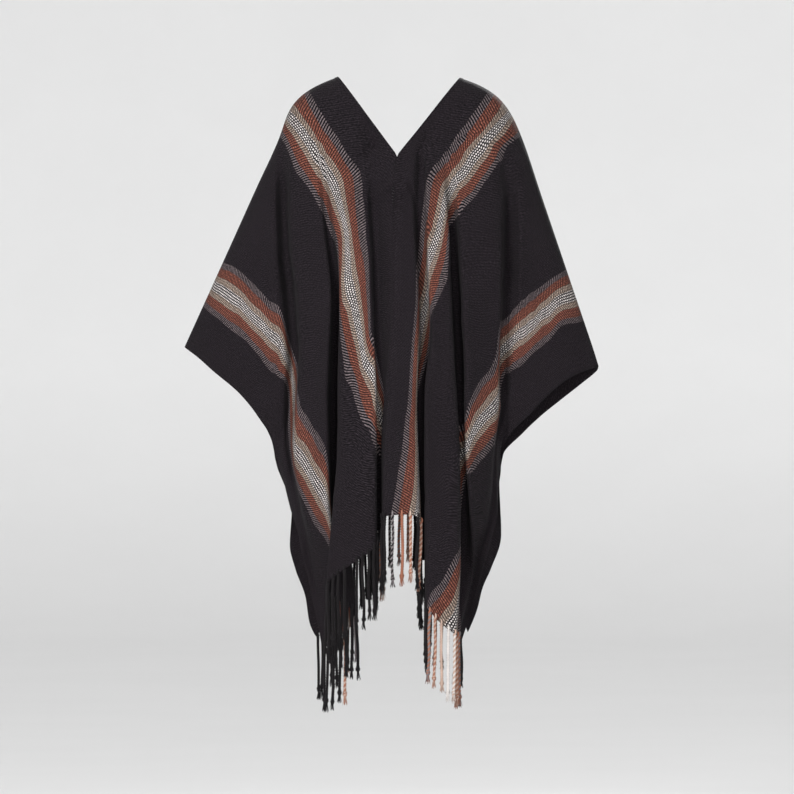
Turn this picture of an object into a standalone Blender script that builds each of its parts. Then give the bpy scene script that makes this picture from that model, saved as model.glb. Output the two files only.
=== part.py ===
"""Poncho of two woven panels: solids of the cloth and its fringe. Metres, +Z up, front faces -Y."""
import math

import bmesh
import bpy
import numpy as np
from mathutils import Vector
from mathutils.bvhtree import BVHTree

# The cloth, in mm.
HALF_WIDTH = 575.0        # one woven panel, from the centre seam to its selvage
HALF_LENGTH = 855.0       # from the fold over the shoulders to the hem, each side
WALL = 0.0024             # thickness of the solids, m
SEAM_GAP = 0.0005         # each panel keeps this far from the centre seam, m
SLIT_ROW = 0.1845         # where the neck slit ends, as a share of the way to the hem
VALLEY_HALF = 6.5         # half the flat bottom of each valley
FOLD_SHARE = 0.86         # share of the cloth hidden in a valley that its depth takes up
LEAST_STAND = 62.0        # no valley comes nearer the shoulder plane than this,
ARM_STAND = 38.0          # or, by the arms, than this
BACK_HEM_LIFT = 26.0      # the back hem hangs this much higher
OUTER_AHEAD = 0.75        # rows of the outer fold lines run ahead, and the selvage's behind,
SELVAGE_BEHIND = 0.35     # to bring them level
BACK_SWAY = 7.0           # sideways wander of the back's folds
RUN_OUT = {"left": (600.0, 740.0), "right": (560.0, 670.0)}  # drops over which the outermost valley ends

# The fringe, in mm.
STRANDS = 36              # strands on each half of a hem
STRAND_LENGTH = 124.0
ROOT_THICK = 2.4          # a strand where it leaves the strip, and from FULL_AT on
STRAND_THICK = 4.6
FULL_AT = 0.08
STRIP_HEIGHT = 2.6
STRIP_GAP = 1.0
STRIP_THICK = 1.6
LEAST_STEP = 2.5          # between the bends of a strip
CLEAR_WALL = 0.0046       # from a strand's middle to the cloth's middle, m
CLEAR_STRAND = 0.0072     # between the middles of two strands, m
CLEAR_STRIP = 0.0032      # from a strand's middle to the strip beyond its own root, m
# a strand hangs straight, or leans out, in or along the hem where a fold is in its way, m
LEANS = [(a, b) for b in (0.0, 0.006, -0.006) for a in (0.0, 0.005, -0.005, 0.01, -0.01, 0.016, -0.016)]

ROWS = [0.0, 0.008, 0.03, 0.07, 0.12, SLIT_ROW, 0.26, 0.34, 0.43, 0.52, 0.61, 0.70, 0.79, 0.87, 0.94, 1.0]
COUNTS = {"face": 4, "wall": 3, "bottom": 1, "arm": 9}

# The drape's own tables, in mm: x across (left is negative) and drop below the neck tops.
# Line where each panel turns from front to back, over shoulder and arm: u in the flat cloth, x, drop.
FOLD_OVER = {
    "left": [
        (0, -105.6, -1.8),
        (30.6, -134.2, 8.9),
        (76.4, -173.6, 32.2),
        (110.9, -195.1, 59.1),
        (150.3, -206.7, 96.7),
        (257.2, -250.6, 194),
        (362.1, -293.6, 289.6),
        (470.7, -338.3, 388.4),
        (575, -381.3, 483.3),
    ],
    "right": [
        (0, 112.8, 0),
        (27.3, 139.6, 8.9),
        (66.8, 175.4, 28.6),
        (99.8, 198.7, 53.7),
        (151.6, 222, 102),
        (259.3, 257.8, 207.6),
        (364.2, 292.7, 310.6),
        (472.1, 328.5, 416.4),
        (575, 362.7, 517.3),
    ],
}
# Radius (mm) of the shoulder and the arm under the fold over, at u.
ROLL = [(0, 62), (150, 54), (250, 47), (575, 42)]
# Chest and skirt: drop, half width, how far the cloth stands out beyond the shoulder's radius.
CHEST = [
    (0, 107.4, 0),
    (59.1, 170.1, 16),
    (143.2, 200.5, 42),
    (220.2, 200.5, 62),
    (309.7, 200.5, 80),
    (399.2, 196.9, 96),
    (488.7, 193.3, 110),
    (578.2, 196.9, 122),
    (667.7, 211.2, 132),
    (784, 222, 140),
    (1016.7, 211.2, 140),
]
# Centre seam below the slit: drop, x, how far it lies in from the cloth's face.
SEAM = [
    (143.2, 0, 0),
    (184.4, -4.5, 1),
    (247, -7.2, 3),
    (327.6, -7.2, 4),
    (399.2, -7.2, 4),
    (470.8, -10.7, 4),
    (524.5, -16.1, 7),
    (578.2, -21.5, 14),
    (622.9, -25.1, 24),
    (667.7, -26.9, 30),
    (757.2, -26.9, 36),
    (864.6, -26.9, 36),
]
SEAM_HEM = 791.2
# Selvage: drop, x of the front and of the back, depth of the front and of the back.
SELVAGE = {
    "left": [
        (483.3, -381.3, -381.3, 0, 0),
        (499.4, -359.8, -359.8, 22, 22),
        (524.5, -331.2, -327.6, 36, 36),
        (565.6, -282.8, -281, 43, 46),
        (605, -250.6, -250.6, 46, 50),
        (653.4, -222, -225.5, 46, 52),
        (696.3, -214.8, -216.6, 46, 56),
        (728.5, -202.3, -204.1, 52, 60),
        (767.9, -189.7, -189.7, 58, 64),
        (810.9, -179, -191.5, 62, 68),
        (843.1, -171.8, -193.3, 64, 70),
        (886.1, -161.1, -182.6, 68, 72),
        (936.2, -150.4, -164.7, 70, 72),
        (980.9, -141.4, -157.5, 70, 70),
        (1016.7, -134.2, -141.4, 70, 68),
    ],
    "right": [
        (517.3, 362.7, 362.7, 0, 0),
        (522.7, 345.5, 360.7, 14, 14),
        (531.6, 322.2, 352.6, 26, 24),
        (549.5, 293.6, 331.2, 36, 36),
        (574.6, 264.9, 298.9, 42, 44),
        (605, 236.3, 261.3, 42, 48),
        (639, 202.3, 225.5, 40, 50),
        (676.6, 184.4, 191.5, 38, 52),
        (721.4, 183.5, 184.4, 44, 56),
        (775.1, 180.8, 186.2, 54, 60),
        (819.8, 171.8, 188, 60, 66),
        (861, 159.3, 179, 62, 70),
        (904, 146.8, 159.3, 64, 72),
        (954.1, 132.5, 145, 68, 72),
        (1007.8, 116.4, 123.5, 70, 68),
    ],
}
# Drops at which the fold lines' places are given.
STATIONS = [130.7, 220.2, 309.7, 399.2, 488.7, 578.2, 667.7, 757.2, 864.6, 989.9]
# Fold lines from the centre outward: name, kind, u at the fold over, x at the stations,
# u at the stations (None for a valley), how far an edge sinks or a valley may sink, drop of the hem.
FOLDS = {
    "left": [
        ("V3", "valley", 16,
         [-41.2, -41.2, -38.5, -36.7, -34, -30.4, -33.1, -33.1, -33.1, -33.1],
         None,
         None, 810.9),
        ("B_in", "edge", 34,
         [-68, -59.1, -51, -46.5, -43, -39.4, -39.4, -39.4, -39.4, -39.4],
         [50, 57, 62, 65, 66, 73, 125, 166, 184, 186],
         None, 839.5),
        ("B_out", "edge", 58,
         [-127.1, -114.6, -102, -98.5, -100.2, -102, -103.8, -112.8, -123.5, -130.7],
         [108, 114, 145, 150, 168, 192, 228, 254, 283, 292],
         None, 907.5),
        ("V2", "valley", 74,
         [-141.4, -128.9, -118.1, -109.2, -109.2, -112.8, -111, -105.6, -85.9, -66.2],
         None,
         [90, 90, 90, 90, 90, 90, 90, 80, 42, 22], 957.6),
        ("A_in", "edge", 90,
         [-152.2, -141.4, -128.9, -119.9, -123.5, -127.1, -125.3, -123.5, -107.4, -84.1],
         [124, 139, 172, 240, 298, 352, 411, 448, 480, 455],
         [0, 0, 0, 0, 0, 0, 0, 8, 40, 66], 986.3),
        ("A_out", "edge", 124,
         [-191.5, -191.5, -184.4, -173.6, -168.3, -175.4, -180.8, -170.1, -150.4, -125.3],
         [152, 188, 240, 306, 360, 414, 496, 508, 545, 556],
         [-10, -16, -19, -21, -20, -16, -6, 2, 50, 62], 1007.8),
        ("V1", "valley", 148,
         [-207.6, -204.1, -198.7, -189.7, -182.6, -188, -195.1, -178.1, -156.6, -131.6],
         None,
         [10, 17, 20, 22, 21, 17, 9, 30, 30, 30], 1011.4),
        ("Arm", "edge", 168,
         [-216.6, -218.4, -216.6, -211.2, -202.3, -205.8, -207.6, -184.4, -162.9, -136.9],
         [178, 262, 332, 383, 422, 505, 545, 560, 566, 570],
         [-8, -14, -17, -19, -18, -13, -2, 35, 52, 70], 1013.1),
    ],
    "right": [
        ("C_in", "edge", 14,
         [23.3, 14.3, 7.2, 4.5, 0, -10.7, -22.4, -24.2, -24.2, -24.2],
         [10, 14, 16, 18, 16, 14, 28, 34, 37, 37],
         None, 784),
        ("C_out", "edge", 34,
         [34, 26.9, 30.4, 34, 34, 30.4, 32.2, 34.9, 41.2, 41.2],
         [26, 38, 62, 72, 84, 80, 94, 104, 125, 125],
         None, 784),
        ("V4", "valley", 52,
         [44.8, 43, 43, 48.3, 50.1, 41.2, 43, 44.8, 47.4, 47.4],
         None,
         None, 864.6),
        ("D_in", "edge", 66,
         [57.3, 55.5, 57.3, 60.9, 64.4, 51.9, 53.7, 53.7, 53.7, 53.7],
         [56, 63, 100, 142, 178, 204, 232, 284, 348, 404],
         None, 946.9),
        ("D_out", "edge", 92,
         [84.1, 87.7, 93.1, 94.9, 98.5, 103.8, 107.4, 109.2, 108.3, 103.8],
         [79, 92, 163, 188, 226, 263, 299, 351, 414, 474],
         None, 993.5),
        ("V5", "valley", 106,
         [94.9, 96.7, 100.2, 105.6, 111, 112.8, 114.6, 118.1, 119, 108.3],
         None,
         None, 997),
        ("E_in", "edge", 122,
         [105.6, 111, 116.4, 119.9, 123.5, 125.3, 125.3, 130.7, 135.1, 112.8],
         [94, 126, 226, 310, 372, 428, 474, 512, 548, 560],
         [0, 0, 0, 0, 0, 0, 0, 18, 72, 80], 1000.6),
        ("E_out", "edge", 148,
         [180.8, 184.4, 182.6, 182.6, 180.8, 179, 170.1, 164.7, 143.2, 115.5],
         [148, 215, 300, 388, 441, 498, 510, 532, 562, 567],
         [-10, -16, -20, -22, -22, -16, -2, 24, 76, 80], 1002.4),
        ("V6", "valley", 162,
         [198.7, 200.5, 198.7, 196.9, 189.7, 188, 175.4, 170.1, 148.6, 117.4],
         None,
         [10, 17, 21, 23, 22, 17, 20, 30, 30, 30], 1004.2),
        ("Arm", "edge", 178,
         [214.8, 220.2, 222, 220.2, 211.2, 200.5, 179.9, 175.4, 153.9, 119.2],
         [172, 262, 342, 412, 470, 526, 560, 564, 570, 572],
         [-8, -13, -15, -16, -13, -6, 54, 52, 70, 85], 1006),
    ],
}

def through(at, stops, values):
    """Smooth line through the stops that never overshoots them."""
    at = np.clip(np.asarray(at, float), stops[0], stops[-1])
    stops, values = np.asarray(stops, float), np.asarray(values, float)
    gap = np.diff(stops)
    rise = np.diff(values) / gap
    slope = np.zeros(len(stops))
    same = rise[:-1] * rise[1:] > 0
    w1, w2 = 2 * gap[1:] + gap[:-1], gap[1:] + 2 * gap[:-1]
    flat = np.where(same, 1.0, 0.0)
    safe_a = np.where(same, rise[:-1], 1.0)
    safe_b = np.where(same, rise[1:], 1.0)
    slope[1:-1] = flat * (w1 + w2) / (w1 / safe_a + w2 / safe_b)
    slope[0], slope[-1] = rise[0], rise[-1]
    k = np.clip(np.searchsorted(stops, at, side="right") - 1, 0, len(gap) - 1)
    h = gap[k]
    f = (at - stops[k]) / h
    return (values[k] * (1 + 2 * f) * (1 - f) ** 2 + slope[k] * h * f * (1 - f) ** 2
            + values[k + 1] * f * f * (3 - 2 * f) - slope[k + 1] * h * f * f * (1 - f))


def fold_over(side, u):
    """Points across and down (mm) on the line where a panel turns from front to back."""
    table = FOLD_OVER[side]
    return (through(u, [row[0] for row in table], [row[1] for row in table]),
            through(u, [row[0] for row in table], [row[2] for row in table]))


def stand(side, x, drop):
    """How far (mm) the cloth stands before the shoulder plane: over shoulder and arm, and the chest."""
    u = np.linspace(0.0, HALF_WIDTH, 47)
    lx, ld = fold_over(side, u)
    dx, dd = lx[-1] - lx[-6], ld[-1] - ld[-6]
    run = math.hypot(dx, dd)
    lx = np.append(lx, lx[-1] + 900.0 * dx / run)
    ld = np.append(ld, ld[-1] + 900.0 * dd / run)
    u = np.append(u, HALF_WIDTH)
    shape = np.shape(x)
    px, pd = np.ravel(x)[:, None], np.ravel(drop)[:, None]
    ax, ad, bx, bd = lx[None, :-1], ld[None, :-1], lx[None, 1:], ld[None, 1:]
    along = ((px - ax) * (bx - ax) + (pd - ad) * (bd - ad)) / ((bx - ax) ** 2 + (bd - ad) ** 2)
    along = np.clip(along, 0.0, 1.0)
    far = np.hypot(px - ax - along * (bx - ax), pd - ad - along * (bd - ad))
    near = np.argmin(far, axis=1)
    pick = np.arange(len(near))
    q = far[pick, near]
    u_near = u[near] + along[pick, near] * (u[near + 1] - u[near])
    r = np.interp(u_near, [row[0] for row in ROLL], [row[1] for row in ROLL])
    roll = np.sqrt(np.maximum(r * r - np.maximum(r - q, 0.0) ** 2, 0.0))
    drops = [row[0] for row in CHEST]
    wide = through(pd[:, 0], drops, [row[1] for row in CHEST])
    proud = through(pd[:, 0], drops, [row[2] for row in CHEST])
    off = np.clip(np.abs(px[:, 0]) / wide, 0.0, 1.0)
    return (roll + proud * (1.0 - off ** 2.5) ** 0.8).reshape(shape)


def bend_through(nodes, before, counts):
    """Centripetal curve through each row of nodes (rows, nodes, values), split into counts."""
    after = 2 * nodes[:, -1:] - nodes[:, -2:-1]
    p = np.concatenate([before[:, None], nodes, after], axis=1)
    length = np.linalg.norm(np.diff(p[..., :3], axis=1), axis=2)
    knot = np.sqrt(np.maximum(length, 0.05))[..., None]
    pieces = []
    for k, count in enumerate(counts):
        a, b, c, d = p[:, k], p[:, k + 1], p[:, k + 2], p[:, k + 3]
        ta, tb, tc = knot[:, k], knot[:, k + 1], knot[:, k + 2]
        m1 = tb * ((b - a) / ta - (c - a) / (ta + tb) + (c - b) / tb)
        m2 = tb * ((c - b) / tb - (d - b) / (tb + tc) + (d - c) / tc)
        f = np.linspace(0.0, 1.0, count + 1)[None, :, None]
        if k < len(counts) - 1:
            f = f[:, :-1]
        b, c, m1, m2 = b[:, None], c[:, None], m1[:, None], m2[:, None]
        pieces.append(b * (1 + 2 * f) * (1 - f) ** 2 + m1 * f * (1 - f) ** 2
                      + c * f * f * (3 - 2 * f) - m2 * f * f * (1 - f))
    return np.concatenate(pieces, axis=1)


def fold_nodes(side, layer, t):
    """The fold lines of one half of a panel at the fractions t from the fold over to the hem.

    Gives nodes (rows, lines, (x, stand, drop, u)) in mm from the centre outward, and each line's kind.
    """
    sign = -1.0 if side == "left" else 1.0
    back = layer == "back"
    lift = BACK_HEM_LIFT if back else 0.0
    fade = np.clip((t - 0.02) / 0.12, 0.0, 1.0)
    kinds, xs, ys, drops, us, deepest = ["edge"], [], [], [], [], [None]
    # the slit and, below it, the centre seam
    x0, d0 = fold_over(side, 0.0)
    drop = d0 + (SEAM_HEM - lift - d0) * t
    seam_drops = [row[0] for row in SEAM]
    part = np.clip((drop - d0) / (seam_drops[0] - d0), 0.0, 1.0)
    x = np.where(part < 1.0, x0 + (SEAM[0][1] - x0) * part, through(drop, seam_drops, [row[1] for row in SEAM]))
    sunk = through(drop, seam_drops, [row[2] for row in SEAM]) * (part >= 1.0)
    xs.append(x)
    drops.append(drop)
    us.append(0.0 * t)
    ys.append(stand(side, x, drop) - sunk)
    for k, (_, kind, top, x_at, u_at, sink_at, hem) in enumerate(FOLDS[side]):
        tx, td = fold_over(side, top)
        ahead = OUTER_AHEAD * (k + 1.0) / len(FOLDS[side])
        drop = td + (hem - lift - td) * (t + ahead * t * (1.0 - t))
        used = [i for i, s in enumerate(STATIONS) if s > td + 15.0]
        stops = [td] + [STATIONS[i] for i in used]
        x = through(drop, stops, [tx] + [x_at[i] for i in used])
        kinds.append(kind)
        xs.append(x)
        drops.append(drop)
        sink = through(drop, STATIONS, sink_at) if sink_at else None
        if kind == "valley":
            us.append(None)
            ys.append(None)
            deepest.append(sink)
        else:
            us.append(through(drop, stops, [top] + [u_at[i] for i in used]))
            ys.append(stand(side, x, drop) - (0.0 if sink is None else sink * fade))
            deepest.append(None)
    # the selvage
    table = SELVAGE[side]
    tx, td = fold_over(side, HALF_WIDTH)
    drop = td + (table[-1][0] - 0.4 * lift - td) * (t - SELVAGE_BEHIND * t * (1.0 - t))
    kinds.append("selvage")
    xs.append(through(drop, [row[0] for row in table], [row[2 if back else 1] for row in table]))
    ys.append(through(drop, [row[0] for row in table], [row[4 if back else 3] for row in table]))
    drops.append(drop)
    us.append(HALF_WIDTH + 0.0 * t)
    if back:
        for k in range(len(xs) - 1):
            reach = np.clip(1.0 - (xs[k] / 200.0) ** 2, 0.0, 1.0) * np.clip((drops[k] - 170.0) / 150.0, 0.0, 1.0)
            xs[k] = xs[k] + BACK_SWAY * reach * np.sin(drops[k] / 150.0 + xs[k] / 45.0)
    nodes, lines = [], []
    for k, kind in enumerate(kinds):
        if kind != "valley":
            nodes.append(np.stack([xs[k], ys[k], drops[k], us[k]], axis=1))
            lines.append(kind)
            continue
        # a valley is as deep as the cloth hidden between its two edges allows
        hidden = us[k + 1] - us[k - 1]
        mouth = np.hypot(xs[k + 1] - xs[k - 1], ys[k + 1] - ys[k - 1])
        deep = 0.5 * np.sqrt(np.maximum(hidden ** 2 - mouth ** 2, 0.0))
        deep = FOLD_SHARE * deep ** 2 / (deep + 4.0) * fade
        level = 0.5 * (ys[k + 1] + ys[k - 1])
        least = ARM_STAND if k > len(FOLDS[side]) - 2 else LEAST_STAND
        deep = np.minimum(deep, np.maximum(level - least, 0.0))
        if deepest[k] is not None:
            deep = np.minimum(deep, deepest[k])
        u = 0.5 * (us[k + 1] + us[k - 1])
        here = np.stack([xs[k], level - deep], axis=1)
        # the flat bottom of a pleat that doubles back lies square to the middle between its walls
        to_prev = np.stack([xs[k - 1], ys[k - 1]], axis=1) - here
        to_next = np.stack([xs[k + 1], ys[k + 1]], axis=1) - here
        between = to_prev / np.linalg.norm(to_prev, axis=1)[:, None]
        between = between + to_next / np.linalg.norm(to_next, axis=1)[:, None] + (0.0, 0.4)
        across = sign * np.stack([between[:, 1], -between[:, 0]], axis=1)
        across /= np.linalg.norm(across, axis=1)[:, None]
        if deepest[k] is None:
            across = np.array([[sign, 0.0]])
        room = np.minimum(np.abs((to_next * across).sum(axis=1)), np.abs((to_prev * across).sum(axis=1)))
        half = np.minimum(VALLEY_HALF, 0.3 * room + 0.12 * deep)
        for way, line in ((-1.0, "valley"), (1.0, "bottom")):
            spot = here + way * half[:, None] * across
            nodes.append(np.stack([spot[:, 0], spot[:, 1], drops[k], u + way * half], axis=1))
            lines.append(line)
    # low down the last valley has run out, and the cloth goes straight to the selvage
    start, end = RUN_OUT[side]
    flat = np.clip((nodes[-5][:, 2] - start) / (end - start), 0.0, 1.0)[:, None]
    for k, share in ((-4, 0.18), (-3, 0.3), (-2, 0.45)):
        nodes[k] = nodes[k] * (1 - flat) + (nodes[-5] + (nodes[-1] - nodes[-5]) * share) * flat
    return np.stack(nodes, axis=1), lines


def half_panel(side, layer, rows, counts):
    """Middle surface of one half of a panel, from the fold over down to the hem.

    rows are the fractions from fold over to hem and counts the steps between fold lines.
    Gives points (m), and where each lies in the flat cloth (u from the centre, v from the fold over).
    """
    back = layer == "back"
    t = np.asarray(rows, float)
    nodes, lines = fold_nodes(side, layer, t)
    other, _ = fold_nodes("right" if side == "left" else "left", layer, t)
    joined = (t >= SLIT_ROW - 1e-6)[:, None]
    before = np.where(joined, other[:, 1] * (1, 1, 1, -1), 2 * nodes[:, 0] - nodes[:, 1])
    steps = []
    for a, b in zip(lines, lines[1:]):
        if b == "selvage":
            steps.append(counts["arm"])
        elif (a, b) == ("valley", "bottom"):
            steps.append(counts["bottom"])
        else:
            steps.append(counts["wall" if a == "bottom" or b == "valley" else "face"])
    grid = bend_through(nodes, before, steps)
    # the arm's part keeps to the shoulder form instead of the straight line across
    last = counts["arm"] + 1
    f = np.linspace(0.0, 1.0, last)[None, :]
    a, b = nodes[:, -2][:, None], nodes[:, -1][:, None]
    arm = a * (1 - f[..., None]) + b * f[..., None]
    top_x, top_drop = fold_over(side, arm[0, :, 3])
    pull = (1.0 - np.clip(t / 0.5, 0.0, 1.0))[:, None] ** 2
    arm[..., 0] += (top_x - arm[0, :, 0])[None, :] * pull
    arm[..., 2] += (top_drop - arm[0, :, 2])[None, :] * pull
    body = stand(side, arm[..., 0], arm[..., 2])
    miss_in = (nodes[:, -2, 1] - body[:, 0])[:, None]
    miss_out = (nodes[:, -1, 1] - body[:, -1])[:, None]
    over_arm = body + miss_in * (1 - f) ** 1.5 + miss_out * f ** 1.5
    hung = np.clip((t - 0.08) / 0.14, 0.0, 1.0)[:, None]
    arm[..., 1] = over_arm * (1.0 - hung) + arm[..., 1] * hung
    grid = np.concatenate([grid[:, :-last], arm], axis=1)
    # the first row lies on the fold over
    top_x, top_drop = fold_over(side, grid[0, :, 3])
    ease = np.exp(-(t / 0.03) ** 2)[:, None]
    grid[..., 0] += (top_x - grid[0, :, 0])[None, :] * ease
    grid[..., 2] += (top_drop - grid[0, :, 2])[None, :] * ease
    grid[0, :, 1] = 0.0
    points = np.stack([grid[..., 0], grid[..., 1] * (1.0 if back else -1.0), -grid[..., 2]], axis=2) / 1000.0
    # length of cloth down each line, stretched to the panel's own length
    step = np.linalg.norm(np.diff(points, axis=0), axis=2) * 1000.0
    skew = np.diff(grid[..., 3], axis=0)
    down = np.sqrt(np.maximum(step ** 2 - skew ** 2, (0.35 * step) ** 2))
    v = np.concatenate([np.zeros((1, grid.shape[1])), np.cumsum(down, axis=0)])
    return points, grid[..., 3], v / v[-1:] * HALF_LENGTH

def clear_scene():
    for item in list(bpy.data.objects):
        bpy.data.objects.remove(item, do_unlink=True)


def material(name, colour, rough):
    made = bpy.data.materials.new(name)
    made.use_nodes = True
    shader = made.node_tree.nodes["Principled BSDF"]
    shader.inputs["Base Color"].default_value = (*colour, 1.0)
    shader.inputs["Roughness"].default_value = rough
    return made


def put(name, mesh, skin):
    item = bpy.data.objects.new(name, mesh)
    item.data.materials.append(skin)
    HOME.objects.link(item)
    return item


def whole_panel(side):
    """Middle surface of a panel from the front hem over the shoulder to the back hem."""
    front, u, _ = half_panel(side, "front", ROWS, COUNTS)
    back, _, _ = half_panel(side, "back", ROWS, COUNTS)
    points = np.concatenate([front[::-1], back[1:]])
    u = np.concatenate([u[::-1], u[1:]])
    to_next = points[:, 1] - points[:, 0]
    points[:, 0] += to_next / np.linalg.norm(to_next, axis=1)[:, None] * SEAM_GAP
    return points, u


def cloth_panel(side, skin):
    points, _ = whole_panel(side)
    rows, columns = points.shape[:2]
    faces = []
    for i in range(rows - 1):
        for j in range(columns - 1):
            a = i * columns + j
            quad = (a, a + 1, a + columns + 1, a + columns)
            faces.append(quad if side == "left" else quad[::-1])
    mesh = bpy.data.meshes.new("panel_" + side)
    mesh.from_pydata([tuple(p) for p in points.reshape(-1, 3)], [], faces)
    item = put("panel_" + side, mesh, skin)
    wall = item.modifiers.new("Wall", "SOLIDIFY")
    wall.thickness = WALL
    wall.offset = 0.0
    wall.use_even_offset = False
    wall.use_rim = True
    return item


def hem_line(side, layer):
    """Points along the hem, the way the cloth hangs there, and which point starts each strand's root."""
    points, _, _ = half_panel(side, layer, ROWS, COUNTS)
    line = points[-1]
    hang = points[-1] - points[-2]
    run = np.concatenate([[0.0], np.cumsum(np.linalg.norm(np.diff(line, axis=0), axis=1))])
    middles = (np.arange(STRANDS) + 0.5) * run[-1] / STRANDS
    half = 0.5 * ROOT_THICK / 1000.0
    bends = []
    for spot in run[1:-1]:
        if np.abs(middles - spot).min() > 2.3 * half and (not bends or spot - bends[-1] > LEAST_STEP / 1000.0):
            bends.append(spot)
    marks = np.sort(np.concatenate([middles - half, middles + half, bends]))
    at = np.array([np.interp(marks, run, line[:, a]) for a in range(3)]).T
    hang = np.array([np.interp(marks, run, hang[:, a]) for a in range(3)]).T
    return at, hang / np.linalg.norm(hang, axis=1)[:, None], np.searchsorted(marks, middles) - 1


def strand_way(root, out, along, length, number, walls, strip, placed):
    """Foot of a strand that hangs clear of the cloth and of its neighbours, or None."""
    wander = 0.0016 * math.sin(1.7 * number) + 0.0008 * math.sin(0.61 * number + 1.0)
    for lean, slip in LEANS:
        foot = root + np.array([0.0, 0.0, -length]) + out * lean + along * (wander + slip)
        shares = np.linspace(FULL_AT, 1.0, 18)[:, None]
        spots = root + (foot - root) * shares
        if any(walls.find_nearest(Vector(s), CLEAR_WALL)[0] is not None for s in spots):
            continue
        upper = root + (foot - root) * np.array([[0.02], [0.04], [0.06]])
        if np.linalg.norm(strip[:, None] - upper[None], axis=2).min() < CLEAR_STRIP:
            continue
        if placed:
            others = np.array(placed)[:, None]
            if np.linalg.norm(others - spots[None], axis=2).min() < CLEAR_STRAND:
                continue
        placed.extend(list(root + (foot - root) * s) for s in np.linspace(0.0, 1.0, 40))
        return foot
    return None


def fringe(side, layer, skin, walls, placed):
    """A narrow strip just under the hem, with every strand drawn down out of it."""
    at, hang, firsts = hem_line(side, layer)
    count = len(at)
    along = np.gradient(at, axis=0)
    along /= np.linalg.norm(along, axis=1)[:, None]
    out = np.cross(hang, along)
    out /= np.linalg.norm(out, axis=1)[:, None]
    hang = np.cross(along, out)
    hang[1:-1] = 0.25 * (hang[:-2] + 2.0 * hang[1:-1] + hang[2:])
    # the strip is thinner where the hem doubles back
    step = np.linalg.norm(np.diff(at, axis=0), axis=1)
    turn = np.arccos(np.clip((out[1:] * out[:-1]).sum(axis=1), -1.0, 0.9999))
    room = np.append(np.inf, np.append(0.4 * step / np.tan(0.5 * turn), np.inf))
    half = np.clip(np.minimum(room[1:], room[:-1]), 0.00025, 0.5 * STRIP_THICK / 1000.0)
    top = at + hang * STRIP_GAP / 1000.0
    low = top + hang * STRIP_HEIGHT / 1000.0
    feet = []
    for k, i in enumerate(firsts):
        root = 0.5 * (low[i] + low[i + 1])
        length = (STRAND_LENGTH + 5.0 * math.sin(2.3 * k)) / 1000.0
        flat = out[i] * (1.0, 1.0, 0.0)
        strip = np.delete(low, [i, i + 1], axis=0)
        feet.append(strand_way(root, flat, along[i] * (1.0, 1.0, 0.0), length, k, walls, strip, placed))
    carrying = {i for i, foot in zip(firsts, feet) if foot is not None}
    mesh = bmesh.new()
    ring = []
    for i in range(count):
        across = out[i] * half[i]
        corners = (top[i] + across, top[i] - across, low[i] - across, low[i] + across)
        ring.append([mesh.verts.new(tuple(c)) for c in corners])
    for i in range(count - 1):
        for a in range(4):
            b = (a + 1) % 4
            if a == 2 and i in carrying:
                continue
            mesh.faces.new((ring[i][a], ring[i][b], ring[i + 1][b], ring[i + 1][a]))
    mesh.faces.new(ring[0])
    mesh.faces.new(ring[-1][::-1])
    for i, foot in zip(firsts, feet):
        if foot is None:
            continue
        upper = [ring[i][2], ring[i + 1][2], ring[i + 1][3], ring[i][3]]
        root = 0.5 * (low[i] + low[i + 1])
        side_way = along[i] * (1.0, 1.0, 0.0)
        side_way *= 0.0005 * STRAND_THICK / np.linalg.norm(side_way)
        out_way = np.cross(side_way, (0.0, 0.0, 1.0))
        out_way *= np.sign(np.dot(out_way, out[i]))
        corners = (-side_way - out_way, side_way - out_way, side_way + out_way, out_way - side_way)
        for share, size in ((FULL_AT, 1.0), (0.6, 0.95), (1.0, 0.85)):
            place = root + (foot - root) * share
            lower = [mesh.verts.new(tuple(place + c * size)) for c in corners]
            for a in range(4):
                b = (a + 1) % 4
                mesh.faces.new((upper[a], upper[b], lower[b], lower[a]))
            upper = lower
        mesh.faces.new(upper)
    bmesh.ops.recalc_face_normals(mesh, faces=mesh.faces)
    data = bpy.data.meshes.new("fringe_%s_%s" % (layer, side))
    mesh.to_mesh(data)
    mesh.free()
    return put(data.name, data, skin)


def cloth_walls():
    """Search tree over the middle surfaces of both panels and the strips below them."""
    points, faces = [], []
    below = (STRIP_GAP + STRIP_HEIGHT) / 1000.0
    for side in ("left", "right"):
        grid, _ = whole_panel(side)
        grid = np.concatenate([grid[:1] - (0.0, 0.0, below), grid, grid[-1:] - (0.0, 0.0, below)])
        rows, columns = grid.shape[:2]
        first = len(points)
        points += [Vector(p) for p in grid.reshape(-1, 3)]
        for i in range(rows - 1):
            for j in range(columns - 1):
                a = first + i * columns + j
                faces += [(a, a + 1, a + columns + 1), (a, a + columns + 1, a + columns)]
    return BVHTree.FromPolygons(points, faces)


clear_scene()
HOME = bpy.data.collections.new("andean_poncho")
bpy.context.scene.collection.children.link(HOME)
CLOTH = material("cloth", (0.018, 0.016, 0.018), 0.9)
YARN = material("fringe_yarn", (0.03, 0.025, 0.026), 0.92)
WALLS = cloth_walls()
PLACED = []
for SIDE in ("left", "right"):
    cloth_panel(SIDE, CLOTH)
for LAYER in ("front", "back"):
    for SIDE in ("left", "right"):
        fringe(SIDE, LAYER, YARN, WALLS, PLACED)
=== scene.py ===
"""Looks of the striped poncho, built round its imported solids. Metres, +Z up, front faces -Y."""

import math

import bpy
import numpy as np
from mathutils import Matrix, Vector
from mathutils.bvhtree import BVHTree


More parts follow.
